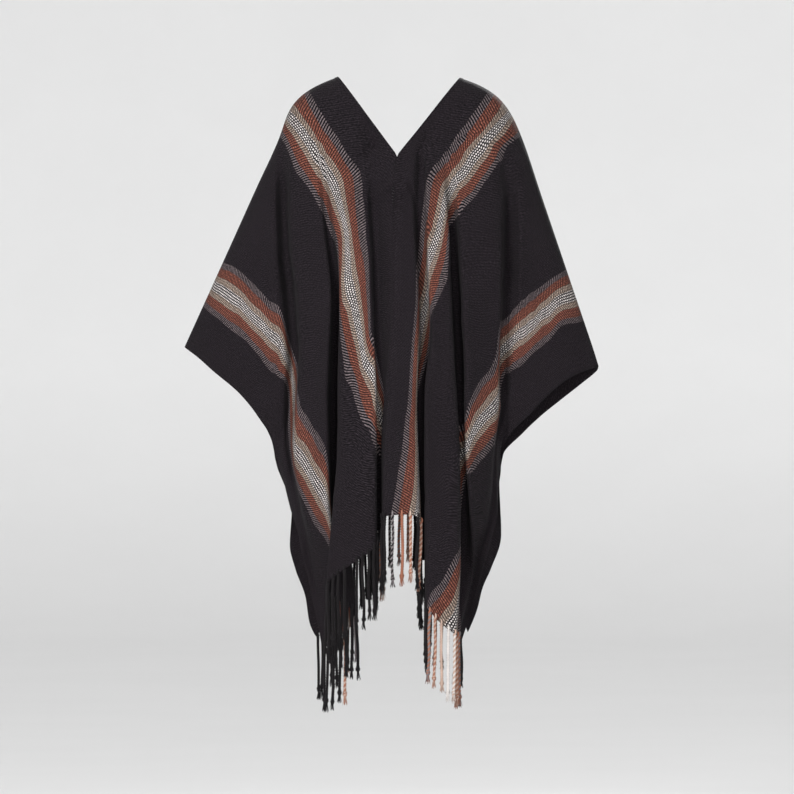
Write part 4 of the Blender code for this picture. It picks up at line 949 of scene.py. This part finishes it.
def cord(tubes, hem_point, up, out, foot, u, random):
    """A twisted cord: a loop through the cloth above the hem, two plies, a knot and a frayed end."""
    if random.uniform() < BLACK_SHARE:
        u = BAND_START - 20.0
    span = foot - hem_point
    length = np.linalg.norm(span) * 1000.0
    down = span / np.linalg.norm(span)
    side_way = np.cross(down, out)
    side_way /= np.linalg.norm(side_way)
    front_way = np.cross(side_way, down)
    sway = random.uniform(-1.3, 1.3, 2)
    beat = random.uniform(0.8, 1.5, 2)
    start = random.uniform(0.0, 6.28, 2)
    tip = TIP * random.uniform(0.8, 1.15)
    knot = length - tip - 4.0
    s = np.arange(0.0, length - tip + 0.6, 1.15)
    share = s / length
    ease = np.clip(share / 0.15, 0.0, 1.0)
    side_move = sway[0] * ease * np.sin(2 * math.pi * beat[0] * share + start[0])
    front_move = sway[1] * ease * np.sin(2 * math.pi * beat[1] * share + start[1])
    axis = hem_point + down * (s / 1000.0)[:, None]
    axis = axis + side_way * (side_move / 1000.0)[:, None] + front_way * (front_move / 1000.0)[:, None]
    lump = np.exp(-((s - knot) / 3.4) ** 2)
    turn = np.concatenate([[0.0], np.cumsum(np.diff(s) * (2 * math.pi / TWIST + 0.95 * lump[1:]))])
    spread = 1.25 + 1.5 * lump + 0.8 * np.exp(-s / 4.0)
    size = PLY * random.uniform(0.92, 1.08)
    for ply in (0, 1):
        angle = turn + ply * math.pi
        off = front_way * (spread * np.cos(angle))[:, None] + side_way * (spread * np.sin(angle))[:, None]
        body = axis + off / 1000.0
        sign = 1.0 if ply == 0 else -1.0
        rise = np.array([7.5, 6.5, 5.2, 3.8, 2.4, 1.1])
        stand_off = np.array([0.2, 1.5, 2.2, 2.5, 2.5, 2.4])
        loop = hem_point + up * (rise / 1000.0)[:, None] + out * (sign * stand_off / 1000.0)[:, None]
        path = np.concatenate([loop, body])
        radii = np.concatenate([[0.8, 1.3, 1.6, 1.7, 1.75, 1.75], PLY + 0.25 * lump]) * size / PLY / 1000.0
        tubes.add(path, radii, 6, (u + (PLY_APART if ply else -PLY_APART), 0.0))
    end = axis[-1] - down * 0.004
    for k in range(FIBRES):
        heading = 2 * math.pi * (k + random.uniform(-0.4, 0.4)) / FIBRES
        reach = random.uniform(0.25, 1.0) * 5.2
        way = front_way * math.cos(heading) + side_way * math.sin(heading)
        long = (tip + 3.5) * random.uniform(0.72, 1.0)
        f = np.linspace(0.0, 1.0, 5)
        curl = way * (1.3 * (1.0 - f) + reach * f ** 1.3)[:, None] / 1000.0
        path = end + down * (long * f / 1000.0)[:, None] + curl
        path = path + side_way * (random.uniform(-0.6, 0.6) * np.sin(3.0 * f) / 1000.0)[:, None]
        tubes.add(path, np.array([0.62, 0.6, 0.5, 0.42, 0.22]) / 1000.0, 4,
                  (u + (PLY_APART if k % 2 else -PLY_APART), 0.0))


def cords(side, layer, shell, found, skin, seed):
    random = np.random.default_rng(seed)
    points, normal, _, _, (dyed, _) = shell
    row = 0 if layer == "front" else -1
    hem, above, out = points[row], points[1 if row == 0 else -2], normal[row]
    run = np.concatenate([[0.0], np.cumsum(np.linalg.norm(np.diff(hem, axis=0), axis=1))])
    fine = np.arange(0.0, run[-1], 0.001)
    hem = np.array([np.interp(fine, run, hem[:, a]) for a in range(3)]).T
    above = np.array([np.interp(fine, run, above[:, a]) for a in range(3)]).T
    out = np.array([np.interp(fine, run, out[:, a]) for a in range(3)]).T
    dyed = np.interp(fine, run, dyed[row])
    tubes = Tubes()
    for root, foot, _, _ in found:
        near = int(np.argmin(np.linalg.norm(hem - root, axis=1)))
        up = above[near] - hem[near]
        up /= np.linalg.norm(up)
        cord(tubes, hem[near], up, out[near] / np.linalg.norm(out[near]), foot, dyed[near], random)
    return tubes.item("cords_%s_%s" % (layer, side), skin)


def seam_stitches(shells, skin):
    """Joining stitches across the centre seam, front and back."""
    tubes = Tubes()
    random = np.random.default_rng(11)
    for layer in ("front", "back"):
        edges = []
        for side in ("left", "right"):
            points, normal, u, v, _ = shells[side]
            half = len(points) // 2
            rows = slice(half, None, -1) if layer == "front" else slice(half, None)
            v_edge = np.abs(v[rows, 0])
            at = np.arange(SLIT_LENGTH + 9.0, HALF_LENGTH - 3.0, 5.4)
            lines = []
            for reach in (0.0, 3.4):
                spots = np.empty((v_edge.size, 3))
                outs = np.empty((v_edge.size, 3))
                for i, (row_points, row_normal, row_u) in enumerate(zip(points[rows], normal[rows], u[rows])):
                    spots[i] = [np.interp(reach, row_u[:30], row_points[:30, a]) for a in range(3)]
                    outs[i] = [np.interp(reach, row_u[:30], row_normal[:30, a]) for a in range(3)]
                lines.append((np.array([np.interp(at, v_edge, spots[:, a]) for a in range(3)]).T,
                              np.array([np.interp(at, v_edge, outs[:, a]) for a in range(3)]).T))
            edges.append(lines)
        for k in range(len(at) - 1):
            slip = random.integers(0, 2)
            a_spot, a_out = edges[0][1][0][k], edges[0][1][1][k]
            b_spot, b_out = edges[1][1][0][k + 1], edges[1][1][1][k + 1]
            middle = 0.5 * (edges[0][0][0][k] + edges[1][0][0][k + 1])
            lift = 0.5 * (a_out + b_out)
            path = np.array([a_spot - a_out * 0.0004, a_spot + a_out * 0.0009, middle + lift * 0.0008,
                             b_spot + b_out * 0.0009, b_spot - b_out * 0.0004])
            tubes.add(path, np.array([0.42, 0.5, 0.5, 0.5, 0.42]) / 1000.0, 5, (20.0, 5.0 * k + slip))
    return tubes.item("centre_seam", skin)


def slit_stitches(shells, skin):
    """Hemming stitches along the turned edge of the neck slit, and the bar tacks at its ends."""
    tubes = Tubes()
    for side in ("left", "right"):
        points, normal, u, v, _ = shells[side]
        inside = np.where(np.abs(v[:, 0]) < SLIT_LENGTH - 2.0)[0]
        rows = inside
        spots, outs, runs = [], [], []
        for i in rows:
            spots.append([[np.interp(reach, u[i][:30], points[i][:30, a]) for a in range(3)]
                          for reach in (TURNED - 1.6, TURNED + 0.8)])
            outs.append([np.interp(TURNED, u[i][:30], normal[i][:30, a]) for a in range(3)])
            runs.append(v[i, 0])
        spots, outs, runs = np.array(spots), np.array(outs), np.array(runs)
        at = np.arange(runs[0], runs[-1], 6.2)
        near = np.array([np.interp(at, runs, spots[:, 0, a]) for a in range(3)]).T
        far = np.array([np.interp(at + 1.6, runs, spots[:, 1, a]) for a in range(3)]).T
        out = np.array([np.interp(at, runs, outs[:, a]) for a in range(3)]).T
        for k in range(len(at)):
            path = np.array([near[k] + out[k] * 0.0008, near[k] + out[k] * 0.0016, far[k] + out[k] * 0.0011,
                             far[k] + out[k] * 0.0002])
            tubes.add(path, 0.0004, 5, (20.0, 6.0 * k))
    for layer in ("front", "back"):
        ends = []
        for side in ("left", "right"):
            points, normal, u, v, _ = shells[side]
            half = len(points) // 2
            rows = slice(half, None, -1) if layer == "front" else slice(half, None)
            v_edge = np.abs(v[rows, 0])
            ends.append((points[rows], normal[rows], u[rows], v_edge))
        for k in range(11):
            depth = SLIT_LENGTH - 1.0 + 0.95 * k
            spots, outs = [], []
            for grid, normals, us, v_edge in ends:
                i = int(np.argmin(np.abs(v_edge - depth)))
                f = depth - v_edge[i]
                step = grid[min(i + 1, len(grid) - 1), 0] - grid[i, 0]
                step /= np.linalg.norm(step)
                reach = 4.2 + 0.5 * math.sin(5.0 * k)
                spots.append(np.array([np.interp(reach, us[i][:30], grid[i][:30, a]) for a in range(3)])
                             + step * f / 1000.0)
                outs.append(normals[i, 1])
            middle = 0.5 * (spots[0] + spots[1])
            lift = 0.5 * (outs[0] + outs[1])
            path = np.array([spots[0] - outs[0] * 0.0003, spots[0] + outs[0] * 0.0013, middle + lift * 0.0020,
                             spots[1] + outs[1] * 0.0013, spots[1] - outs[1] * 0.0003])
            tubes.add(path, np.array([0.45, 0.6, 0.62, 0.6, 0.45]) / 1000.0, 6, (20.0, 3.0 * k))
    return tubes.item("slit_stitches", skin)


# Colours, linear. The bands' stops are shares of a band's 95 mm.
BLACK = (0.0112, 0.0087, 0.0106)
WEFT = (0.0036, 0.0030, 0.0037)
GREY = (0.082, 0.066, 0.069)
RUST = (0.128, 0.0445, 0.0305)
CREAM = (0.215, 0.166, 0.136)
WHITE = (0.41, 0.38, 0.37)
BAND_START = 66.0
BAND_REPEAT = 348.0
BAND_WIDTH = 95.0
BAND_STOPS = [(0.0, GREY), (0.11, RUST), (0.284, CREAM), (0.40, WHITE), (0.60, CREAM), (0.716, RUST), (0.89, GREY),
              (0.9999, BLACK)]
CORD_COLOURS = {BLACK: (0.0052, 0.0042, 0.0048), GREY: (0.13, 0.115, 0.118), RUST: (0.20, 0.082, 0.052),
                CREAM: (0.31, 0.225, 0.185), WHITE: (0.42, 0.395, 0.38)}


class Wiring:
    """Short ways to wire a material's nodes."""

    def __init__(self, name):
        self.material = bpy.data.materials.new(name)
        self.material.use_nodes = True
        self.tree = self.material.node_tree
        self.shader = self.tree.nodes["Principled BSDF"]

    def put(self, value, socket):
        if isinstance(value, bpy.types.NodeSocket):
            self.tree.links.new(value, socket)
        else:
            socket.default_value = value

    def math(self, kind, a, b=None, c=None, clamp=False):
        node = self.tree.nodes.new("ShaderNodeMath")
        node.operation = kind
        node.use_clamp = clamp
        for value, socket in zip((a, b, c), node.inputs):
            if value is not None:
                self.put(value, socket)
        return node.outputs[0]

    def smooth(self, value, low, high):
        node = self.tree.nodes.new("ShaderNodeMapRange")
        node.interpolation_type = "SMOOTHSTEP"
        self.put(value, node.inputs["Value"])
        node.inputs["From Min"].default_value = low
        node.inputs["From Max"].default_value = high
        return node.outputs["Result"]

    def mix(self, share, a, b, kind="MIX"):
        node = self.tree.nodes.new("ShaderNodeMix")
        node.data_type = "RGBA"
        node.blend_type = kind
        self.put(share, node.inputs[0])
        for value, socket in ((a, node.inputs[6]), (b, node.inputs[7])):
            self.put((*value, 1.0) if isinstance(value, tuple) else value, socket)
        return node.outputs[2]

    def ramp(self, value, stops, kind="CONSTANT"):
        node = self.tree.nodes.new("ShaderNodeValToRGB")
        node.color_ramp.interpolation = kind
        elements = node.color_ramp.elements
        while len(elements) < len(stops):
            elements.new(0.5)
        for element, (place, colour) in zip(elements, stops):
            element.position = place
            element.color = (*colour, 1.0)
        self.put(value, node.inputs[0])
        return node.outputs[0]

    def noise(self, scale, detail, vector, stretch=None):
        if stretch:
            node = self.tree.nodes.new("ShaderNodeMapping")
            node.inputs["Scale"].default_value = stretch
            self.put(vector, node.inputs["Vector"])
            vector = node.outputs[0]
        node = self.tree.nodes.new("ShaderNodeTexNoise")
        node.inputs["Scale"].default_value = scale
        node.inputs["Detail"].default_value = detail
        self.put(vector, node.inputs["Vector"])
        return node.outputs[0]

    def cut(self):
        """u and v in mm, and the UV vector itself."""
        node = self.tree.nodes.new("ShaderNodeUVMap")
        node.uv_map = "cut"
        split = self.tree.nodes.new("ShaderNodeSeparateXYZ")
        self.tree.links.new(node.outputs[0], split.inputs[0])
        return self.math("MULTIPLY", split.outputs[0], 1000.0), self.math("MULTIPLY", split.outputs[1], 1000.0), \
            node.outputs[0]

    def bump(self, height, distance, strength=1.0):
        node = self.tree.nodes.new("ShaderNodeBump")
        node.inputs["Strength"].default_value = strength
        node.inputs["Distance"].default_value = distance
        self.put(height, node.inputs["Height"])
        self.tree.links.new(node.outputs[0], self.shader.inputs["Normal"])

    def wave(self, value, length, phase=0.0):
        """0 to 1, a smooth wave of that length."""
        angle = self.math("MULTIPLY_ADD", value, 2 * math.pi / length, phase)
        return self.math("MULTIPLY_ADD", self.math("SINE", angle), 0.5, 0.5)


WARP = 4.66               # from one warp line to the next, mm
WEFT_PITCH = 4.6          # from one twill bar to the next, down the cloth
TWILL = 2.9               # and the black ground's twill


def cloth_material():
    """Black wool twill with two bands, each of seven stripes, the middle one checked."""
    w = Wiring("wool_twill")
    u, v, flat = w.cut()
    wobble = w.math("SUBTRACT", w.noise(55.0, 2.0, flat), 0.5)
    v = w.math("MULTIPLY_ADD", wobble, 2.2, v)
    edge = w.math("MULTIPLY_ADD", w.math("SUBTRACT", w.noise(700.0, 1.0, flat), 0.5), 1.4, u)
    place = w.math("FLOORED_MODULO", w.math("SUBTRACT", u, BAND_START), BAND_REPEAT)
    band = w.math("DIVIDE", w.math("FLOORED_MODULO", w.math("SUBTRACT", edge, BAND_START), BAND_REPEAT), BAND_WIDTH)
    yarn = w.ramp(band, BAND_STOPS)
    one = (1.0, 1.0, 1.0)
    zero = (0.0, 0.0, 0.0)
    in_band = w.ramp(band, [(0.0, one), (0.9999, zero)])
    in_middle = w.ramp(band, [(0.0, zero), (0.385, one), (0.615, zero)])
    in_grey = w.ramp(band, [(0.0, one), (0.11, zero), (0.89, one), (0.9999, zero)])
    # the twill runs out both ways from the middle of each band
    off = w.math("SUBTRACT", place, 0.5 * BAND_WIDTH)
    slant = w.math("MULTIPLY_ADD", w.math("ABSOLUTE", off), 0.5 * WEFT_PITCH / WARP, w.math("MULTIPLY", v, -1.0))
    bars = w.wave(slant, WEFT_PITCH)
    ground = w.wave(w.math("SUBTRACT", u, v), 1.4142 * TWILL)
    melange = w.noise(400.0, 2.0, flat)
    warp = w.wave(off, WARP, 0.5 * math.pi)
    # staggered floats of the middle
    column = w.math("FLOOR", w.math("MULTIPLY_ADD", off, 1.0 / WARP, 0.5))
    dots = w.wave(w.math("MULTIPLY_ADD", column, 0.5 * WEFT_PITCH, v), WEFT_PITCH)
    check = w.math("MULTIPLY", w.smooth(warp, 0.22, 0.62), w.math("MULTIPLY_ADD", w.smooth(dots, 0.30, 0.70), 0.92, 0.08))
    ribbed = w.math("MULTIPLY", w.smooth(bars, 0.34, 0.78), w.math("MULTIPLY_ADD", w.smooth(warp, 0.0, 0.5), 0.55, 0.45))
    ribbed = w.math("MULTIPLY_ADD", ribbed, 0.84, 0.16)
    sparse = w.smooth(bars, 0.42, 0.80)
    cover = w.math("ADD", w.math("MULTIPLY", ribbed, w.math("SUBTRACT", 1.0, in_grey)),
                   w.math("MULTIPLY", sparse, in_grey))
    cover = w.math("ADD", w.math("MULTIPLY", cover, w.math("SUBTRACT", 1.0, in_middle)),
                   w.math("MULTIPLY", check, in_middle))
    faint = w.smooth(w.math("ADD", w.math("MULTIPLY", ground, 0.55), w.math("MULTIPLY", bars, 0.45)), 0.25, 0.75)
    cover = w.math("ADD", w.math("MULTIPLY", cover, in_band),
                   w.math("MULTIPLY", faint, w.math("SUBTRACT", 1.0, in_band)))
    fibres = w.noise(900.0, 3.0, flat, (1.0, 0.5, 1.0))
    patches = w.noise(9.0, 3.0, flat)
    shade = w.math("MULTIPLY", w.math("MULTIPLY_ADD", fibres, 0.6, 0.7), w.math("MULTIPLY_ADD", patches, 0.3, 0.85))
    shade = w.math("MULTIPLY", shade, w.math("MAXIMUM", w.math("MULTIPLY_ADD", melange, 3.8, -0.9), 0.2))
    coloured = w.mix(cover, WEFT, yarn)
    grains = w.tree.nodes.new("ShaderNodeCombineColor")
    for socket in grains.inputs:
        w.put(shade, socket)
    w.put(w.mix(1.0, coloured, grains.outputs[0], "MULTIPLY"), w.shader.inputs["Base Color"])
    height = w.math("MULTIPLY_ADD", cover, 0.8, w.math("MULTIPLY", fibres, 0.3))
    w.bump(height, 0.0006, 0.7)
    w.put(w.math("MULTIPLY_ADD", fibres, 0.1, 0.88), w.shader.inputs["Roughness"])
    w.shader.inputs["Specular IOR Level"].default_value = 0.06
    w.shader.inputs["Sheen Weight"].default_value = 0.012
    w.shader.inputs["Sheen Roughness"].default_value = 0.6
    w.shader.inputs["Sheen Tint"].default_value = (0.75, 0.72, 0.74, 1.0)
    return w.material


def cord_material():
    """Twisted wool, each ply in the colour of the warp it is drawn from."""
    w = Wiring("fringe_wool")
    u, v, flat = w.cut()
    band = w.math("DIVIDE", w.math("FLOORED_MODULO", w.math("SUBTRACT", u, BAND_START), BAND_REPEAT), BAND_WIDTH)
    yarn = w.ramp(band, [(at, CORD_COLOURS[colour]) for at, colour in BAND_STOPS])
    place = w.tree.nodes.new("ShaderNodeTexCoord").outputs["Object"]
    fibres = w.noise(1400.0, 3.0, place, (1.0, 1.0, 0.4))
    patches = w.noise(60.0, 2.0, place)
    shade = w.math("MULTIPLY", w.math("MULTIPLY_ADD", fibres, 0.8, 0.6), w.math("MULTIPLY_ADD", patches, 0.5, 0.75))
    grains = w.tree.nodes.new("ShaderNodeCombineColor")
    for socket in grains.inputs:
        w.put(shade, socket)
    w.put(w.mix(1.0, yarn, grains.outputs[0], "MULTIPLY"), w.shader.inputs["Base Color"])
    w.bump(w.math("ADD", fibres, w.math("MULTIPLY", w.wave(v, 1.6), 0.3)), 0.0005, 0.8)
    w.put(w.math("MULTIPLY_ADD", fibres, 0.18, 0.78), w.shader.inputs["Roughness"])
    w.shader.inputs["Specular IOR Level"].default_value = 0.12
    w.shader.inputs["Sheen Weight"].default_value = 0.02
    w.shader.inputs["Sheen Roughness"].default_value = 0.5
    return w.material


def thread_material():
    """Black sewing yarn."""
    w = Wiring("sewing_yarn")
    place = w.tree.nodes.new("ShaderNodeTexCoord").outputs["Object"]
    fibres = w.noise(1800.0, 2.0, place)
    w.put(w.mix(fibres, WEFT, BLACK), w.shader.inputs["Base Color"])
    w.bump(fibres, 0.0003, 0.7)
    w.put(w.math("MULTIPLY_ADD", fibres, 0.2, 0.7), w.shader.inputs["Roughness"])
    return w.material


def paper_material():
    """Pale paper, with painted shade that makes it a little darker on the floor than up the wall."""
    w = Wiring("pale_paper")
    place = w.tree.nodes.new("ShaderNodeTexCoord").outputs["Object"]
    split = w.tree.nodes.new("ShaderNodeSeparateXYZ")
    w.put(place, split.inputs[0])
    cloud = w.smooth(w.noise(2.2, 6.0, place), 0.3, 0.7)
    # painted shade: the paper's colour is darkened towards the floor
    paper = w.mix(w.smooth(split.outputs[2], FLOOR - 0.4, FLOOR + 1.2), PAPER_FLOOR_SHADE, PAPER_HIGH)
    w.put(w.mix(w.math("MULTIPLY", cloud, 0.04), paper, (0.6, 0.6, 0.6)), w.shader.inputs["Base Color"])
    w.put(w.math("MULTIPLY_ADD", cloud, 0.1, 0.85), w.shader.inputs["Roughness"])
    w.shader.inputs["Specular IOR Level"].default_value = 0.1
    return w.material


def studio():
    """A pale round sweep of floor and wall, soft lights and the photograph's view."""
    section = [(0.0, FLOOR), (5.0, FLOOR), (SWEEP - COVE, FLOOR)]
    for k in range(1, 17):
        turn = 0.5 * math.pi * k / 16
        section.append((SWEEP - COVE + COVE * math.sin(turn), FLOOR + COVE * (1 - math.cos(turn))))
    section.append((SWEEP, FLOOR + WALL_TOP))
    steps = 96
    points = [(0.0, 0.0, FLOOR)]
    for r, z in section[1:]:
        points += [(r * math.cos(2 * math.pi * k / steps), r * math.sin(2 * math.pi * k / steps), z)
                   for k in range(steps)]
    faces = [(0, 1 + k, 1 + (k + 1) % steps) for k in range(steps)]
    for ring in range(len(section) - 2):
        a = 1 + ring * steps
        faces += [(a + k, a + steps + k, a + steps + (k + 1) % steps, a + (k + 1) % steps) for k in range(steps)]
    mesh = bpy.data.meshes.new("floor")
    mesh.from_pydata(points, [], faces)
    mesh.polygons.foreach_set("use_smooth", [True] * len(mesh.polygons))
    mesh.materials.append(paper_material())
    floor = bpy.data.objects.new("floor", mesh)
    bpy.context.scene.collection.objects.link(floor)
    for name, place, power, size in LIGHTS:
        data = bpy.data.lights.new(name, "AREA")
        data.energy = power
        data.shape = "RECTANGLE"
        data.size, data.size_y = size
        data.spread = math.radians(70.0)
        lamp = bpy.data.objects.new(name, data)
        lamp.location = place
        lamp.rotation_euler = (Vector(AIM) - Vector(place)).to_track_quat("-Z", "Y").to_euler()
        lamp.visible_camera = False
        bpy.context.scene.collection.objects.link(lamp)
    world = bpy.data.worlds.new("studio")
    world.use_nodes = True
    world.node_tree.nodes["Background"].inputs["Color"].default_value = (1.0, 1.0, 1.0, 1.0)
    world.node_tree.nodes["Background"].inputs["Strength"].default_value = SKY
    bpy.context.scene.world = world
    bpy.context.scene.view_settings.view_transform = "Standard"
    data = bpy.data.cameras.new("camera")
    data.sensor_width = 36.0
    data.lens = 36.0 * (DISTANCE - SCALE_PLANE) / (PICTURE * SCALE)
    data.clip_end = 60.0
    camera = bpy.data.objects.new("camera", data)
    camera.location = (AIM[0], AIM[1] - DISTANCE, AIM[2])
    camera.rotation_euler = (0.5 * math.pi, 0.0, 0.0)
    bpy.context.scene.collection.objects.link(camera)
    bpy.context.scene.camera = camera


PICTURE = 794             # the photograph's width in pixels
SCALE = 0.00179           # metres to a pixel,
SCALE_PLANE = 0.05        # this far in front of the shoulders
DISTANCE = 12.0
AIM = (0.0, 0.0, -0.573)
FLOOR = -1.5
SWEEP = 17.0              # radius of the round sweep, of the bend at its foot, and its height
COVE = 4.0
WALL_TOP = 12.0
SKY = 0.93
# the floor's paper colour holds painted shade; the wall's is the paper's own pale colour
PAPER_FLOOR_SHADE = (0.74, 0.74, 0.74)
PAPER_HIGH = (0.94, 0.94, 0.94)
LIGHTS = [
    ("key", (-2.0, -5.2, 1.9), 62.0, (1.2, 1.2)),
    ("front", (0.3, -5.8, -0.5), 28.0, (1.4, 1.4)),
    ("back", (1.2, 5.2, 1.6), 46.0, (1.4, 1.4)),
]

WOOL = cloth_material()
YARN = cord_material()
THREAD = thread_material()
SHELLS = {side: cloth_shell(side) for side in ("left", "right")}
CLOTHS = {side: cloth(side, SHELLS[side], WOOL) for side in ("left", "right")}
WALLS = cloth_walls()
PLACED = []
for number, (layer, side) in enumerate((a, b) for a in ("front", "back") for b in ("left", "right")):
    roots = strand_roots(side, layer, WALLS, PLACED)
    item = cords(side, layer, SHELLS[side], roots, YARN, 20 + number)
    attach(item, "root")
    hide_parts("fringe_%s_%s" % (layer, side))
SEAM_ITEM = seam_stitches(SHELLS, THREAD)
SLIT_ITEM = slit_stitches(SHELLS, THREAD)
for item in (SEAM_ITEM, SLIT_ITEM):
    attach(item, "root")
for side in ("left", "right"):
    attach(CLOTHS[side], "root")
    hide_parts("panel_" + side)
studio()
